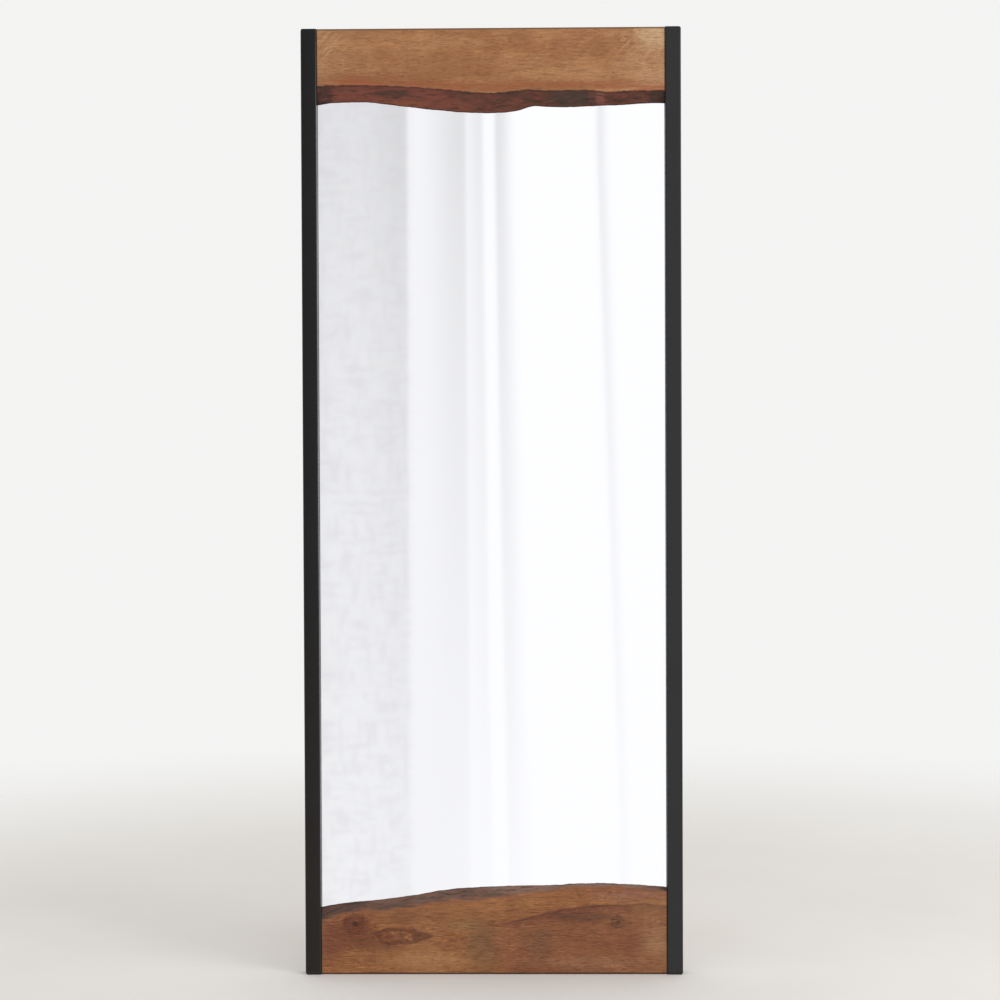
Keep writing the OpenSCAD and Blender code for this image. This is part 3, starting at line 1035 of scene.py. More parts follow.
    def bark_colour(
        self, place: Value, past_line: Value, slope_share: Value
    ) -> tuple[Value, Value]:
        """Colour and height of the bark slope.

        Args:
            place: Place on the board.
            past_line: Distance past the face line.
            slope_share: Share of the slope, from the face line to the tip.

        Returns:
            The colour, and the height from 0 to 1.
        """
        wood = self.palette
        along = place.graph.join(place.split()[0], 0.0, past_line)
        along = along.vector("ADD", self.grain_shift)
        broad, ropes, patch = (
            Fibres.use(along, grain)
            for grain in (self.BARK_BROAD, self.BARK_ROPES, self.BARK_PATCH))
        colour = broad.step(self.BARK_EDGES).mix(wood.bark, wood.bark_light)
        for layer in self.PATCH_LAYERS:
            colour = self.lay(layer, patch, colour)
        for mark in self.marks:
            if mark.on_bark:
                area = self.distance(place, mark, self.BARK_RAGGED).step(self.BARK_MARK_EDGES)
                colour = (area * mark.strength).mix(colour, mark.colour)
        for layer in self.ROPE_LAYERS:
            colour = self.lay(layer, ropes, colour)
        chipped = Specks.use(along, self.BARK_CHIPS) * slope_share.step(self.CHIP_EDGES)
        colour = (chipped * self.CHIP_SHARE).mix(colour, wood.rim)
        # Painted shade on the bark right past the face line
        line_shade = past_line.step(self.LINE_SHADE_EDGES) * self.border.shade
        tip = slope_share.step(self.TIP_EDGES) * self.TIP_SHARE
        return line_shade.larger(tip).mix(colour, wood.bark_dark), ropes


def add_object(name: str, data: bpy.types.ID) -> bpy.types.Object:
    """Adds an object to the scene."""
    made = bpy.data.objects.new(name, data)
    bpy.context.scene.collection.objects.link(made)
    return made


def finished_object(
    build: bmesh.types.BMesh, name: str, finish: Finish, crease: float
) -> bpy.types.Object:
    """Turns a mesh that is ready into an object of the scene.

    Args:
        build: The mesh, which is freed.
        name: Name of the object.
        finish: Its finish.
        crease: Angle in degrees from which an edge is sharp.

    Returns:
        The object.
    """
    bmesh.ops.recalc_face_normals(build, faces=build.faces)
    for face in build.faces:
        face.smooth = True
    mesh = bpy.data.meshes.new(name)
    build.to_mesh(mesh)
    build.free()
    mesh.set_sharp_from_angle(angle=math.radians(crease))
    mesh.materials.append(finish.material())
    return add_object(name, mesh)


def turned_rings(
    build: bmesh.types.BMesh, centre: Pair, outline: list[Pair], sides: int
) -> list[list[bmesh.types.BMVert]]:
    """Adds the surface that an outline makes as it turns round an axis along Y.

    Args:
        build: The mesh that is being made.
        centre: X and Z of the axis.
        outline: Radius and depth of each ring, where a radius of 0 is a single point.
        sides: Number of sides.

    Returns:
        The points of each ring.
    """
    rings: list[list[bmesh.types.BMVert]] = []
    for radius, depth in outline:
        turns = [2 * math.pi * i / sides for i in range(sides if radius else 1)]
        ring = [
            build.verts.new((
                centre[0] + radius * math.cos(turn), depth, centre[1] + radius * math.sin(turn)))
            for turn in turns]
        if rings:
            below = rings[-1]
            for i in range(sides):
                k = (i + 1) % sides
                build.faces.new(
                    (below[0], ring[k], ring[i]) if len(below) == 1
                    else (below[i], below[k], ring[k], ring[i]))
        rings.append(ring)
    return rings


@dataclass
class EdgeStation:
    """The board's outline at one place along it, as heights above its straight edge."""

    x: float
    line: float
    tip: float


@dataclass(frozen=True)
class Ridges:
    """Fractal ridges along a board: their height, or its share, their length and their width."""

    height: float
    along: float
    across: float


@dataclass
class LiveEdgeBoard:
    """A board with one live edge, whose bark slope has its real relief.

    Attributes:
        node: The CAD node that it stands for.
        base: Height of its straight edge in the frame.
        up: 1 where the live edge looks up, -1 where it looks down.
        seed: Offset that gives each board its own relief.
        stations: Number of steps along the board, without those of the eased ends.
        ease: Radius of the eased edges.
        roundness: Share of the slope that is a quarter round, and not a straight chamfer.
        relief: Height of the bark's ridges.
        crease: Angle in degrees from which an edge is sharp.
        front, back, lip, rebate: Depths of the face, the back and the live edge's tip, and
            height of the rebate, all read from the CAD node.
    """

    UV_NAME = "profile"
    # How near two depths or places are that count as the same
    SAME_DEPTH = 0.01 * MM
    SAME_PLACE = 0.1 * MM
    # Least height of a tip above the rebate
    LEAST_TIP = MM
    LINE_RIDGES = Ridges(0.9 * MM, 11 * MM, MM)
    TIP_RIDGES = Ridges(0.5 * MM, 16 * MM, MM)
    TIP_SHIFT = 3.0
    BROAD_RIDGES = Ridges(0.62, 42 * MM, 10 * MM)
    FINE_RIDGES = Ridges(0.45, 13 * MM, 3.2 * MM)
    FINE_SHIFT = 1.0
    FADE_POWER = 0.7
    TIP_EDGE = 0.3 * MM
    # Weight of the finer ridges, their ratio, their number, and the seed's share in depth
    FRACTAL = (0.8, 2.1, 5)
    SEED_DEPTH = 0.37

    node: str
    finish: OiledBoard
    base: float
    up: int
    seed: float
    stations: int = 372
    end_steps: int = 4
    slope_rows: int = 18
    face_rows: int = 6
    ease: float = 1.2 * MM
    ease_rows: int = 3
    roundness: float = 0.5
    relief: float = 1.5 * MM
    crease: float = 38.0
    front: float = field(init=False)
    back: float = field(init=False)
    lip: float = field(init=False)
    rebate: float = field(init=False)

    def outline(self) -> list[EdgeStation]:
        """Reads the outline from the CAD node, as stations from left to right."""
        mesh = bpy.data.objects[self.node].data
        points = [(v.co.x, v.co.y, self.up * (v.co.z - self.base)) for v in mesh.vertices]
        self.front = min(p[1] for p in points)
        self.back = max(p[1] for p in points)
        self.lip = max(points, key=lambda p: p[2])[1]
        self.rebate = min(p[2] for p in points if abs(p[1] - self.lip) < self.SAME_DEPTH)
        rows: dict[int, list[Triple]] = {}
        for point in points:
            rows.setdefault(round(point[0] / self.SAME_PLACE), []).append(point)
        found = []
        for key in sorted(rows):
            face, tips = (
                [z for _, y, z in rows[key] if abs(y - depth) < self.SAME_DEPTH and z > least]
                for depth, least in (
                    (self.front, self.rebate), (self.lip, self.rebate + self.LEAST_TIP)))
            if face and tips:
                found.append(EdgeStation(rows[key][0][0], max(face), max(tips)))
        return found

    @staticmethod
    def between(stations: list[EdgeStation], x: float) -> EdgeStation:
        """Interpolates the outline smoothly.

        Args:
            stations: The outline's stations.
            x: Place along the board.

        Returns:
            The outline there.
        """
        last = len(stations) - 1
        i = next((k for k in range(last) if stations[k + 1].x >= x), last - 1)
        ends = [stations[max(i - 1, 0)], stations[i], stations[i + 1], stations[min(i + 2, last)]]
        t = (x - ends[1].x) / (ends[2].x - ends[1].x)

        def spline(values: list[float]) -> float:
            """Catmull-Rom value between the middle two of four."""
            a, b, c, d = values
            return 0.5 * (2 * b + (c - a) * t + (2 * a - 5 * b + 4 * c - d) * t * t
                          + (3 * b - a - 3 * c + d) * t ** 3)

        return EdgeStation(x, spline([e.line for e in ends]), spline([e.tip for e in ends]))

    def rough(self, x: float, across: float, ridges: Ridges) -> float:
        """Height of fractal ridges that run along the board, about 0."""
        where = Vector((
            x / ridges.along + self.seed, across / ridges.across, self.seed * self.SEED_DEPTH))
        return ridges.height * noise.fractal(where, *self.FRACTAL)

    def places(self, left: float, right: float) -> list[float]:
        """Where the sections stand along the board, closer together at the eased ends."""
        turns = (math.pi / 2 * i / self.end_steps for i in range(self.end_steps))
        eased = [self.ease * (1 - math.cos(turn)) for turn in turns]
        inner = right - left - 2 * self.ease
        even = [left + self.ease + inner * i / self.stations for i in range(self.stations + 1)]
        return [left + e for e in eased] + even + [right - e for e in reversed(eased)]

    def section(
        self, at: EdgeStation, set_back: float
    ) -> list[tuple[float, float, float, float]]:
        """Outline of the board across its length.

        Args:
            at: The outline at that place.
            set_back: How far the front is eased back there.

        Returns:
            Depth and height above the straight edge of each point, its share of the bark slope
            and its distance past the face line.
        """
        line = at.line + self.rough(at.x, 0.0, self.LINE_RIDGES)
        tip = at.tip + self.rough(at.x, self.TIP_SHIFT, self.TIP_RIDGES)
        face = self.front + set_back
        rows = []
        for j in range(self.ease_rows + 1):
            angle = math.pi / 2 * j / self.ease_rows
            y = self.front + self.ease * (1 - math.sin(angle))
            rows.append((max(y, face), self.ease * (1 - math.cos(angle)), 0.0, -line))
        for j in range(1, self.face_rows):
            height = self.ease + (line - self.ease) * j / self.face_rows
            rows.append((face, height, 0.0, height - line))
        depth = self.lip - self.front
        slope = tip - line
        length = math.hypot(depth, slope)
        for j in range(self.slope_rows + 1):
            t = j / self.slope_rows
            rise = (1 - self.roundness) * t + self.roundness * math.sin(math.pi / 2 * t)
            fade = math.sin(math.pi * t) ** self.FADE_POWER
            across = t * length
            lift = self.relief * fade * (
                self.rough(at.x, across, self.BROAD_RIDGES)
                + self.rough(at.x + self.FINE_SHIFT, across, self.FINE_RIDGES))
            y = self.front + t * depth - lift * slope / length
            height = line + slope * rise + lift * depth / length
            rows.append((min(max(y, face), self.lip), height, t, across))
        shoulder = tip - self.TIP_EDGE
        for share in (0.0, 0.5, 1.0):
            height = shoulder - (shoulder - self.rebate) * share
            rows.append((self.lip, height, 1.0, length + tip - height))
        for height in (self.rebate, (self.rebate + self.ease) / 2, self.ease):
            rows.append((self.back, height, 0.0, -line))
        rows.append((self.back - self.ease, 0.0, 0.0, -line))
        return rows

    def build(self) -> bpy.types.Object:
        """Makes the board and lets it stand for its CAD node."""
        outline = self.outline()
        left, right = outline[0].x, outline[-1].x
        build = bmesh.new()
        uv = build.loops.layers.uv.new(self.UV_NAME)
        rings = []
        past: dict[bmesh.types.BMVert, Pair] = {}
        for x in self.places(left, right):
            inward = min(x - left, right - x, self.ease) / self.ease
            set_back = self.ease * (1 - math.sqrt(1 - (1 - inward) ** 2))
            ring = []
            for y, height, share, distance in self.section(self.between(outline, x), set_back):
                vertex = build.verts.new((x, y, self.base + self.up * height))
                past[vertex] = (share, distance)
                ring.append(vertex)
            rings.append(ring)
        for a, b in zip(rings, rings[1:]):
            for j in range(len(a)):
                k = (j + 1) % len(a)
                corners = (a[j], b[j], b[k], a[k])
                build.faces.new(corners if self.up > 0 else corners[::-1])
        for ring, flip in ((rings[0], False), (rings[-1], True)):
            build.faces.new(ring if flip == (self.up > 0) else ring[::-1])
        for face in build.faces:
            for loop in face.loops:
                loop[uv].uv = past[loop.vert]
        board = finished_object(build, self.node + "_wood", self.finish, self.crease)
        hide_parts(self.node)
        self.node + "_wood"
        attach(board, ROOT_BODY)
        LOG.info("%s: %d faces in %d sections", board.name, len(board.data.polygons), len(rings))
        return board


class HeadKind(Enum):
    """Shape of a screw head."""

    PAN = "domed head that stands on the surface"
    COUNTERSUNK = "flat head that lies in the surface"


@dataclass
class ScrewSet:
    """The screws of one CAD node, with their real heads and cross recesses.

    Attributes:
        node: The CAD node that they stand for.
        slot_share: Half the length of the recess, as a share of the head's flat top.
        slot_width_share: Half the width of its arms, the same way.
        slot_depth_share: Its depth, the same way.
        slot_taper: How much of its size is left at its floor.
        crease: Angle in degrees from which an edge is sharp.
    """

    # Dome of a pan head: share of the radius, and share of the head's height below its top
    DOME = ((0.96, 1.0), (1.0, 0.88), (0.99, 0.55), (0.92, 0.28), (0.78, 0.1), (0.6, 0.0))
    # Bevel of a countersunk head, as a height and as a share of the radius
    BEVEL = 0.05 * MM
    BEVEL_SHARE = 0.97
    POINT_SHARE = 0.5
    # Farthest that a point lies from the first point of its own screw
    SCREW_REACH = 12 * MM
    # How the parts of a solid are told apart by their distance from its axis
    LEAST_SHANK_R = 0.5 * MM
    NEAR_HEAD = 0.97
    NEAR_SHANK = 1.05

    node: str
    kind: HeadKind
    finish: Finish
    sides: int = 32
    slot_share: float = 0.58
    slot_width_share: float = 0.2
    slot_depth_share: float = 0.6
    slot_taper: float = 0.7
    crease: float = 40.0

    def islands(self) -> list[list[Vector]]:
        """Groups the CAD node's vertices by screw."""
        groups: list[list[Vector]] = []
        for vertex in bpy.data.objects[self.node].data.vertices:
            point = vertex.co.copy()
            near = [
                group for group in groups
                if math.hypot(group[0].x - point.x, group[0].z - point.z) < self.SCREW_REACH]
            if near:
                near[0].append(point)
            else:
                groups.append([point])
        return groups

    def profile(
        self, head_r: float, shank_r: float, start: float, seat: float, end: float
    ) -> list[Pair]:
        """Radius and depth of the screw's outline, from its point to the top of its head.

        Args:
            head_r: Radius of the head.
            shank_r: Radius of the shank.
            start: Depth of the point.
            seat: Depth where the head begins.
            end: Depth of the head's top.

        Returns:
            The outline.
        """
        shank = [
            (0.0, start), (shank_r * self.POINT_SHARE, start + shank_r),
            (shank_r, start + 2 * shank_r), (shank_r, seat)]
        if self.kind is HeadKind.COUNTERSUNK:
            return shank + [(head_r, end - self.BEVEL), (head_r * self.BEVEL_SHARE, end)]
        return shank + [(head_r * wide, end - (end - seat) * drop) for wide, drop in self.DOME]

    def add_screw(self, build: bmesh.types.BMesh, points: list[Vector]) -> None:
        """Adds one screw to a mesh, in the place of the solid that has these points."""
        low = [min(p[i] for p in points) for i in range(3)]
        high = [max(p[i] for p in points) for i in range(3)]
        centre = ((low[0] + high[0]) / 2, (low[2] + high[2]) / 2)
        reach = [(math.hypot(p.x - centre[0], p.z - centre[1]), p.y) for p in points]
        head_r = max(r for r, _ in reach)
        shank_r = min(r for r, _ in reach if r > self.LEAST_SHANK_R)
        seat = min(y for r, y in reach if r > head_r * self.NEAR_HEAD)
        if self.kind is HeadKind.COUNTERSUNK:
            seat = max(y for r, y in reach if r < shank_r * self.NEAR_SHANK)
        outline = self.profile(head_r, shank_r, low[1], seat, high[1])
        rings = turned_rings(build, centre, outline, self.sides)
        self.add_recess(build, rings[-1], outline[-1][0], high[1], centre)

    def add_recess(
        self, build: bmesh.types.BMesh, rim: list[bmesh.types.BMVert], rim_r: float, top: float,
        centre: Pair,
    ) -> None:
        """Closes the head with a cross-shaped recess.

        Args:
            build: The mesh that is being made.
            rim: The head's innermost ring.
            rim_r: Radius of that ring.
            top: Depth of the head's top.
            centre: X and Z of the screw.
        """
        reach = rim_r * self.slot_share
        half = rim_r * self.slot_width_share
        cross = []
        for quarter in range(4):
            cosine, sine = math.cos(quarter * math.pi / 2), math.sin(quarter * math.pi / 2)
            for u, v in ((reach, -half), (reach, half), (half, half)):
                cross.append((u * cosine - v * sine, u * sine + v * cosine))
        floor = top - rim_r * self.slot_depth_share
        upper, lower = (
            [build.verts.new((centre[0] + size * u, depth, centre[1] + size * v))
             for u, v in cross]
            for depth, size in ((top, 1.0), (floor, self.slot_taper)))
        build.faces.new(lower)
        for i in range(len(cross)):
            k = (i + 1) % len(cross)
            build.faces.new((upper[i], upper[k], lower[k], lower[i]))
        edges = [
            build.edges.get((ring[i], ring[(i + 1) % len(ring)]))
            for ring in (rim, upper) for i in range(len(ring))]
        bmesh.ops.triangle_fill(build, edges=edges, use_beauty=True)

    def build(self) -> bpy.types.Object:
        """Makes the screws as one object and lets them stand for their CAD node."""
        build = bmesh.new()
        groups = self.islands()
        for points in groups:
            self.add_screw(build, points)
        screws = finished_object(build, self.node + "_turned", self.finish, self.crease)
        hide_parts(self.node)
        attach(screws, ROOT_BODY)
        LOG.info("%s: %d screws", screws.name, len(groups))
        return screws


@dataclass
class WallBumper:
    """A moulded rubber bumper with a rounded rim and a dished face.

    Attributes:
        node: The CAD node that it stands for.
        rim_r: Radius of its rounded rim.
        dish: How deep its face is dished.
        land: Width of the flat ring inside the rim.
        arc_steps: Number of steps of the rim, and of the dish.
        crease: Angle in degrees from which an edge is sharp.
    """

    node: str
    finish: Finish
    sides: int = 64
    rim_r: float = 1.6 * MM
    dish: float = 0.6 * MM
    land: float = 2.2 * MM
    arc_steps: int = 6
    crease: float = 40.0

    def outline(self, radius: float, low: float, high: float) -> list[Pair]:
        """Radius and depth of the bumper's outline, from its foot to near the middle.

        Args:
            radius: Radius of the bumper.
            low: Depth of its foot.
            high: Depth of its face.

        Returns:
            The outline.
        """
        points = [(radius, low), (radius, high - self.rim_r)]
        for i in range(1, self.arc_steps + 1):
            angle = math.pi / 2 * i / self.arc_steps
            inward, fall = 1 - math.cos(angle), 1 - math.sin(angle)
            points.append((radius - self.rim_r * inward, high - self.rim_r * fall))
        inner = radius - self.rim_r - self.land
        points.append((inner, high))
        for i in range(1, self.arc_steps):
            share = i / self.arc_steps
            points.append((inner * (1 - share), high - self.dish * math.sin(math.pi / 2 * share)))
        return points

    def build(self) -> bpy.types.Object:
        """Makes the bumper and lets it stand for its CAD node."""
        low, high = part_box(self.node)
        middle = (low + high) / 2
        build = bmesh.new()
        outline = self.outline((high.x - low.x) / 2, low.y, high.y)
        rings = turned_rings(build, (middle.x, middle.z), outline, self.sides)
        build.faces.new(rings[0])
        pole = build.verts.new((middle.x, high.y - self.dish, middle.z))
        for i in range(self.sides):
            build.faces.new((rings[-1][i], rings[-1][(i + 1) % self.sides], pole))
        bumper = finished_object(build, self.node + "_moulded", self.finish, self.crease)
        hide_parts(self.node)
        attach(bumper, ROOT_BODY)
        LOG.info("%s: %d faces", bumper.name, len(bumper.data.polygons))
        return bumper


@dataclass
class CarriedNodes:
    """CAD nodes whose shape is right, so that they only get a finish, given for each node."""

    finishes: dict[str, Finish]

    def dress(self) -> None:
        """Gives each node its finish."""
        for node, finish in self.finishes.items():
            mesh = bpy.data.objects[node].data
            for slot in range(len(mesh.materials)):
                mesh.materials[slot] = finish.material()
            LOG.info("%s: %s", node, finish.name)


@dataclass(frozen=True)
class Pleat:
    """One soft pleat of the backdrop: places of its dark edge and of its light one, and depth."""

    dark: float
    light: float
    depth: float


@dataclass
class Studio:
    """The floor, the backdrop that the glass reflects, the lights and the camera."""

    # Camera: its place, its pitch, roll and turn in degrees from level along Y, and its lens
    eye: Triple = (0.0607, -3.2331, 0.8222)
    tilt: Triple = (-0.988, 0.228, 0.855)
    lens_mm: float = 72.0
    sensor_mm: float = 36.0
    # Floor, which fades into the background
    floor_r: float = 3.0
    floor_sides: int = 96
    floor_z: float = -0.2 * MM
    floor_clear: Pair = (0.9, 2.8)
    floor_cloud: Cloud = Cloud(3.0, 4.0)
    floor_light: Colour = srgb(232, 229, 225)
    floor_dark: Colour = srgb(224, 220, 215)
    # Backdrop, which fades out towards its rim
    backdrop_y: float = -6.6
    backdrop_half_w: float = 3.2
    backdrop_z: Pair = (-3.4, 4.6)
    backdrop_fade: Pair = (1.2, 1.0)
    # Pleats of its cloth, which lean and fade lower down
    pleats: tuple[Pleat, ...] = (
        Pleat(-0.54, -0.80, 0.10), Pleat(-0.255, -0.50, 0.22), Pleat(-0.17, -0.28, 0.18),
        Pleat(-0.10, 0.0, 0.25), Pleat(0.40, 0.46, 0.18))
    pleat_lip: float = 0.01
    pleat_fade: float = 0.8
    pleat_z: Pair = (-1.1, 2.4)
    pleat_lean: float = 0.108
    lean_edges: Pair = (-0.36, 0.25)
    fade_power: float = 0.7
    cloth_left: Colour = grey(0.985)
    cloth_right: Colour = grey(1.07)
    cloth_edges: Pair = (-0.53, -0.1)
    tint: Colour = (0.995, 0.985, 1.015, 1.0)
    # Woven panel at its left
    panel_top: Colour = grey(0.835)
    panel_low: Colour = grey(0.96)
    panel_edges: Pair = (-0.54, -0.53)
    weft: Grain = Grain((7.0, 1.0, 44.0), 3.0, 0.1)
    warp: Grain = Grain((44.0, 1.0, 7.0))
    thread: Colour = (0.62, 0.61, 0.63, 1.0)
    thread_edges: Pair = (0.5, 0.64)
    thread_share: float = 0.3
    threads_left: Pair = (-1.0, -0.98)
    threads_right: Pair = (-0.50, -0.56)
    # Dark wing on the far left with a warm shade low down, and a plain strip on the right
    wing: Colour = grey(0.022)
    wing_edges: Pair = (-0.985, -1.0)
    warm_shade: Colour = (0.34, 0.19, 0.07, 1.0)
    warm_x: Pair = (-0.98, -1.0)
    warm_z: Pair = (0.6, -1.4)
    beside: Colour = (0.80, 0.81, 0.84, 1.0)
    beside_edges: Pair = (0.72, 0.78)
    # Pale surroundings, with other greys where a glossy ray meets them
    surroundings: Colour = (0.90, 0.90, 0.895, 1.0)
    gloss_floor: Colour = (0.60, 0.585, 0.565, 1.0)
    gloss_level: Colour = grey(0.93)
    gloss_above: Colour = (0.52, 0.525, 0.53, 1.0)
    level_edges: Pair = (-0.75, -0.05)
    above_edges: Pair = (0.1, 0.8)
    # Large soft light from the right
    light_place: Triple = (2.7, -1.9, 1.3)
    light_aim: Triple = (0.0, 0.0, 0.8)
    light_size: float = 1.8
    light_watts: float = 42.0

    def camera(self) -> None:
        """Places the camera at the photograph's viewing angle."""
        data = bpy.data.cameras.new("camera")
        data.lens = self.lens_mm
        data.sensor_width = self.sensor_mm
        camera = add_object("camera", data)
        camera.location = self.eye
        pitch, roll, turn = (math.radians(value) for value in self.tilt)
        camera.rotation_euler = (math.pi / 2 + pitch, roll, turn)
        bpy.context.scene.camera = camera

    def floor(self) -> None:
        """Lays a pale round floor that fades into the background."""
        build = bmesh.new()
        bmesh.ops.create_circle(
            build, cap_ends=True, segments=self.floor_sides, radius=self.floor_r)
        mesh = bpy.data.meshes.new("studio_floor")
        build.to_mesh(mesh)
        build.free()
        floor = add_object("studio_floor", mesh)
        floor.location = (0.0, 0.0, self.floor_z)
        material = bpy.data.materials.new("studio_floor")
        graph = Graph.fresh(material)
        place = graph.place()
        tone = place.noise(self.floor_cloud).mix(self.floor_light, self.floor_dark)
        graph.sink("ShaderNodeOutputMaterial", graph.blend(
            place.vector("LENGTH").step(self.floor_clear),
            graph.shade("ShaderNodeBsdfDiffuse", tone), graph.clear()))
        mesh.materials.append(material)
        floor.visible_glossy = False
        floor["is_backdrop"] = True

    def backdrop(self) -> None:
        """Hangs a pale backdrop in soft folds behind the camera, for the glass to reflect."""
        low, high = self.backdrop_z
        half = self.backdrop_half_w
        mesh = bpy.data.meshes.new("studio_backdrop")
        corners = [(-half, 0, low), (half, 0, low), (half, 0, high), (-half, 0, high)]
        mesh.from_pydata(corners, [], [(0, 1, 2, 3)])
        backdrop = add_object("studio_backdrop", mesh)
        backdrop.location = (0.0, self.backdrop_y, 0.0)
        material = bpy.data.materials.new("studio_backdrop")
        graph = Graph.fresh(material)
        x, _, z = graph.place().split()
        fade_x, fade_z = self.backdrop_fade
        inside = z.step((low, low + fade_z)) * z.step((high, high - fade_z))
        inside = inside * graph.math("ABSOLUTE", x).step((half, half - fade_x))
        shader = graph.blend(inside, graph.clear(), self.folds(graph.place()))
        graph.sink("ShaderNodeOutputMaterial", shader)
        mesh.materials.append(material)
        for ray in ("camera", "diffuse", "transmission", "volume_scatter", "shadow"):
            setattr(backdrop, "visible_" + ray, False)
        backdrop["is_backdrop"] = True

    def pleat_light(self, across: Value, down: Value) -> Value:
        """How much light the pleats leave, with less shade lower down.

        Args:
            across: Place across the pleats.
            down: Share of the way down.

        Returns:
            The light, up to 1.
        """
        hang = 1.0 - down * self.pleat_fade
        light = 1.0
        for pleat in self.pleats:
            lip = pleat.dark + math.copysign(self.pleat_lip, pleat.dark - pleat.light)
            fade = across.step((pleat.light, pleat.dark))
            light = light - fade * across.step((lip, pleat.dark)) * hang * pleat.depth
        return light

    def folds(self, place: Value) -> Value:
        """The backdrop's glow: a greyer woven panel on the left, and pale pleated cloth.

        Args:
            place: Place on the backdrop.

        Returns:
            The emission shader.
        """
        graph = place.graph
        x, _, z = place.split()
        low, high = self.pleat_z
        down = graph.math("DIVIDE", high - z, high - low, clamp=True)
        across = x - down * (x.step(self.lean_edges) * self.pleat_lean)
        down = graph.math("POWER", down, self.fade_power)
        panel = down.mix(self.panel_top, self.panel_low)
        cloth = across.step(self.cloth_edges).mix(self.cloth_left, self.cloth_right)
        shown = across.step(self.panel_edges).mix(panel, cloth)
        light = self.pleat_light(across, down)
        shown = graph.mix(1.0, shown, graph.join(light, light, light), "MULTIPLY")
        shown = x.step(self.wing_edges).mix(shown, self.wing)
        weft, warp = (
            Fibres.use(place, grain).step(self.thread_edges) for grain in (self.weft, self.warp))
        on_panel = x.step(self.threads_right) * x.step(self.threads_left)
        shown = (weft.larger(warp) * (on_panel * self.thread_share)).mix(shown, self.thread)
        shown = graph.mix(1.0, shown, self.tint, "MULTIPLY")
        shown = x.step(self.beside_edges).mix(shown, self.beside)
        warm = x.step(self.warm_x) * z.step(self.warm_z)
        return graph.shade("ShaderNodeEmission", warm.mix(shown, self.warm_shade))

    def lights(self) -> None:
        """Sets the pale surroundings and a large soft light from the right."""
        world = bpy.data.worlds.new("pale_studio")
        graph = Graph.fresh(world)
        pale = graph.shade("ShaderNodeBackground", self.surroundings)
        height = graph.chain(graph.node("ShaderNodeTexCoord"), result="Generated").split()[2]
        shade = height.step(self.level_edges).mix(self.gloss_floor, self.gloss_level)
        shade = height.step(self.above_edges).mix(shade, self.gloss_above)
        glossy = graph.chain(graph.node("ShaderNodeLightPath"), result="Is Glossy Ray")
        seen_in_gloss = graph.shade("ShaderNodeBackground", shade)
        graph.sink("ShaderNodeOutputWorld", graph.blend(glossy, pale, seen_in_gloss))
        bpy.context.scene.world = world
        bpy.context.scene.view_settings.view_transform = "Standard"
        data = bpy.data.lights.new("side_light", "AREA")
        data.shape = "SQUARE"
        data.size = self.light_size
        data.energy = self.light_watts
        light = add_object("side_light", data)
        light.location = self.light_place
        aim = Vector(self.light_aim) - Vector(self.light_place)
        light.rotation_euler = aim.to_track_quat("-Z", "Y").to_euler()

    def build(self) -> None:
        """Sets up everything round the object."""
        self.camera()
        self.lights()
        self.floor()
        self.backdrop()
        LOG.info("studio ready")


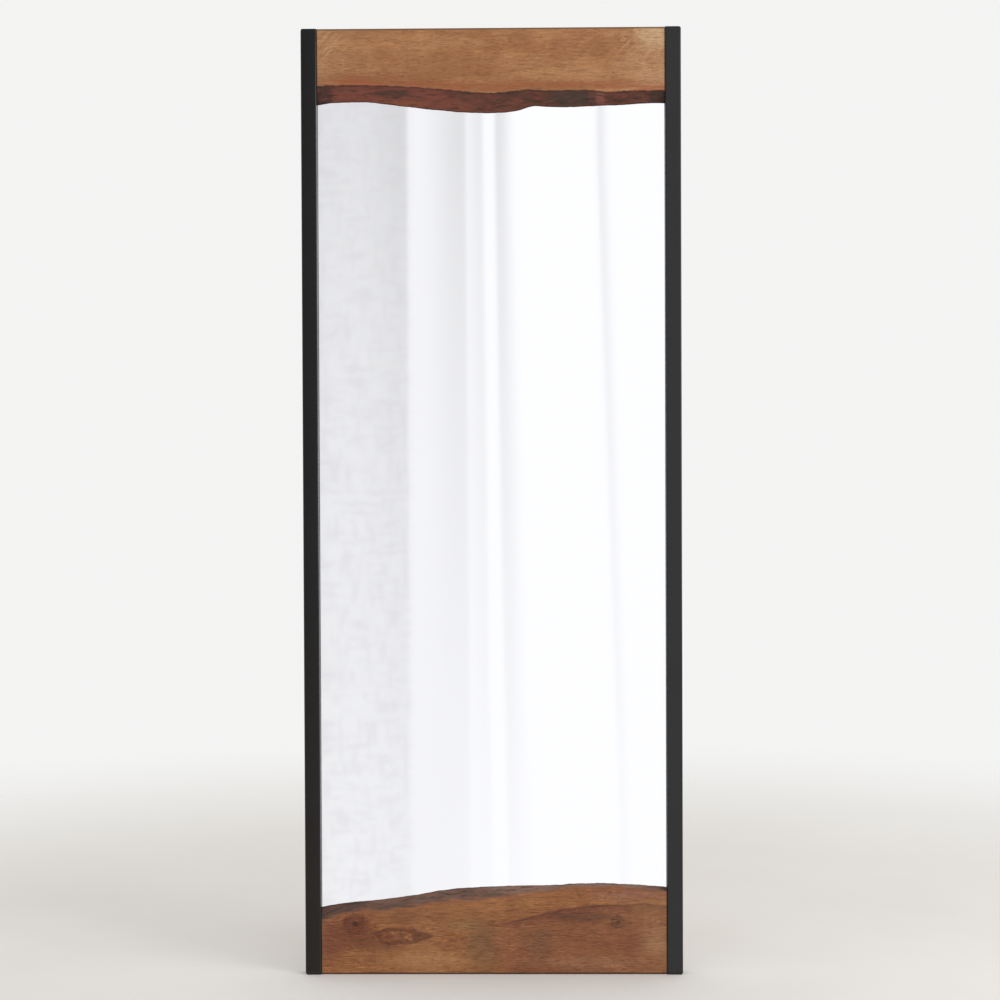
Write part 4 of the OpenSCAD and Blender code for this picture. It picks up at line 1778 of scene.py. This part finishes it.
@dataclass
class FloorMirror:
    """The whole mirror, in its finishes, with the height of its frame."""

    height: float

    def light_board(self) -> OiledBoard:
        """Finish of the top board: golden brown, paler towards its ends."""
        palette = BoardPalette(
            light=srgb(166, 117, 75), middle=srgb(150, 99, 59), grain=srgb(126, 80, 46),
            pore=srgb(98, 58, 34), ruddy=srgb(150, 94, 60), pale=srgb(172, 132, 95),
            rim=srgb(146, 78, 44), lip=srgb(170, 100, 62), bark=srgb(76, 40, 27),
            bark_light=srgb(97, 53, 38), bark_dark=srgb(42, 26, 20), bark_red=srgb(102, 50, 40),
            bark_drab=srgb(58, 42, 31), edge=srgb(100, 76, 56))
        marks = (
            curl((170, 30), (60, 32), (180, 132, 90), 0.34),
            curl((245, 24), (46, 34), (198, 162, 120), 0.5),
            curl((-258, 22), (36, 34), (186, 148, 112), 0.5),
            stain((-60, 62), (90, 30), (144, 94, 56), 0.5),
            stain((-190, 84), (120, 22), (132, 80, 50), 0.6),
            stain((-60, 96), (130, 14), (136, 84, 50), 0.6),
            stain((80, 92), (110, 14), (138, 88, 52), 0.6),
            stain((262, 14), (34, 26), (190, 156, 119), 0.75),
            bark_patch((-165, 108), (130, 24), (130, 66, 50), 0.5),
            bark_patch((130, 113), (42, 15), (62, 46, 38), 0.9),
            bark_patch((-158, 104), (36, 8), (56, 41, 31), 0.7),
            bark_patch((-134, 121), (36, 6), (128, 74, 48), 0.6),
            bark_patch((-70, 124), (70, 9), (118, 62, 46), 0.6),
            bark_patch((176, 112), (10, 11), (128, 74, 64), 0.55),
            # These two patches at the bark's ends are painted shade, where the rails shadow the
            # bark
            bark_patch((-268, 112), (16, 24), (52, 33, 27), 0.7),
            bark_patch((274, 110), (26, 24), (44, 32, 27), 0.7))
        border = Border(
            width=2.2 * MM, ragged=4.6 * MM, tongue=Grain((56.0, 1.0, 160.0)),
            ruddy_reach=20.0 * MM, ruddy=0.85, shade=0.6)
        return OiledBoard(
            "top_board_oiled", palette, marks, border, top=self.height, pale_ends=(0.5, 0.8),
            grain_shift=(0.31, 0.07, 0.83))

    def dark_board(self) -> OiledBoard:
        """Finish of the bottom board: golden to red-brown, with knots and a heart line."""
        palette = BoardPalette(
            light=srgb(154, 103, 61), middle=srgb(135, 85, 50), grain=srgb(106, 63, 38),
            pore=srgb(84, 47, 29), ruddy=srgb(133, 76, 46), pale=srgb(166, 124, 84),
            rim=srgb(130, 76, 48), lip=srgb(140, 90, 64), bark=srgb(97, 70, 59),
            bark_light=srgb(112, 83, 71), bark_dark=srgb(62, 44, 37), bark_red=srgb(122, 80, 62),
            bark_drab=srgb(84, 67, 56), edge=srgb(50, 31, 22))
        marks = (
            stain((-226, 74), (46, 34), (110, 60, 38), 0.85),
            stain((-262, 52), (26, 44), (116, 66, 44), 0.7),
            stain((-196, 50), (70, 16), (108, 63, 40), 0.65),
            stain((-130, 92), (60, 12), (112, 68, 44), 0.6),
            stain((-110, 20), (90, 20), (166, 120, 78), 0.7),
            stain((-112, 54), (34, 50), (170, 120, 80), 0.3),
            knot((-225, 82), (21, 20), (100, 52, 33), 0.9),
            eye((-150, 63), (54, 15), (92, 50, 32), core_levels=(124, 76, 48)),
            stain((-176, 62), (18, 8), (100, 52, 30), 0.6),
            stain((-18, 46), (34, 46), (110, 81, 54), 0.62),
            stain((-50, 80), (40, 12), (132, 98, 62), 0.6),
            stain((-80, 98), (100, 14), (140, 94, 58), 0.45),
            stain((160, 18), (110, 14), (144, 100, 70), 0.7),
            stain((22, 40), (22, 44), (136, 84, 56), 0.5),
            stain((74, 50), (28, 30), (112, 78, 54), 0.5),
            stain((145, 92), (60, 10), (90, 56, 42), 0.7),
            stain((216, 50), (22, 24), (120, 70, 44), 0.6),
            stain((250, 134), (44, 12), (138, 88, 66), 0.6),
            stain((216, 128), (66, 13), (142, 98, 76), 0.6),
            knot((200, 84), (14, 12), (86, 58, 44), 0.7, core_levels=(70, 44, 33)),
            curl((40, 50), (50, 54), (140, 94, 66), 0.35),
            stain((260, 54), (26, 28), (152, 112, 78), 0.6),
            bark_patch((-250, 100), (50, 30), (74, 54, 46), 0.6),
            bark_patch((60, 140), (84, 14), (144, 114, 99), 0.5),
            bark_patch((190, 144), (84, 7), (140, 106, 90), 0.8))
        border = Border(
            width=8.0 * MM, ragged=22.0 * MM, tongue=Grain((26.0, 1.0, 210.0)),
            ruddy_reach=16.0 * MM, ruddy=0.4, shade=0.0)
        heart = HeartLine(
            middle=232 * MM, height=115 * MM, bend=0.66, colour=srgb(122, 73, 48),
            band=srgb(104, 58, 40), line=srgb(80, 43, 30))
        return OiledBoard(
            "bottom_board_oiled", palette, marks, border, pale_ends=(0.0, 0.25), heart=heart,
            grain_shift=(1.71, 0.4, 0.29), fleck=1.8)

    def build(self) -> None:
        """Builds and dresses every piece."""
        coat = PowderCoat()
        plastic = MouldedPlastic("moulded_foot")
        rubber = MouldedPlastic("bumper_rubber", srgb(20, 20, 20), srgb(38, 37, 36), 0.72)
        zinc = PlatedSteel()
        nickel = PlatedSteel("nickel_plating", srgb(202, 200, 196), srgb(160, 157, 152), 0.24)
        LiveEdgeBoard("top_board", self.light_board(), self.height, -1, 3.7).build()
        LiveEdgeBoard("bottom_board", self.dark_board(), 0.0, 1, 8.2).build()
        for place in ("top_board", "bottom_board", "left_panel", "right_panel"):
            ScrewSet(place + "_screws", HeadKind.PAN, zinc).build()
        for side in ("left", "right"):
            ScrewSet(side + "_hanger_screws", HeadKind.COUNTERSUNK, zinc).build()
            WallBumper(side + "_wall_bumper", rubber).build()
        finishes: dict[str, Finish] = {
            "top_cross_bar": coat,
            "bottom_cross_bar": coat,
            "mirror_glass": SilveredGlass(),
            "mirror_tape": FoamTape(),
            "backing_panel": Fibreboard(),
        }
        for side in ("left", "right"):
            finishes[side + "_rail"] = coat
            finishes[side + "_top_cap"] = coat
            finishes[side + "_panel_ledge"] = coat
            finishes[side + "_foot"] = plastic
            finishes[side + "_hanger_strap"] = nickel
            finishes[side + "_hanger_ring"] = nickel
        CarriedNodes(finishes).dress()


def main() -> None:
    """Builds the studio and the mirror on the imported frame."""
    logging.basicConfig(level=logging.INFO, format="%(name)s: %(message)s")
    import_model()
    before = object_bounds()
    Studio().build()
    FloorMirror(height=before[1].z).build()


if __name__ == "__main__":
    main()
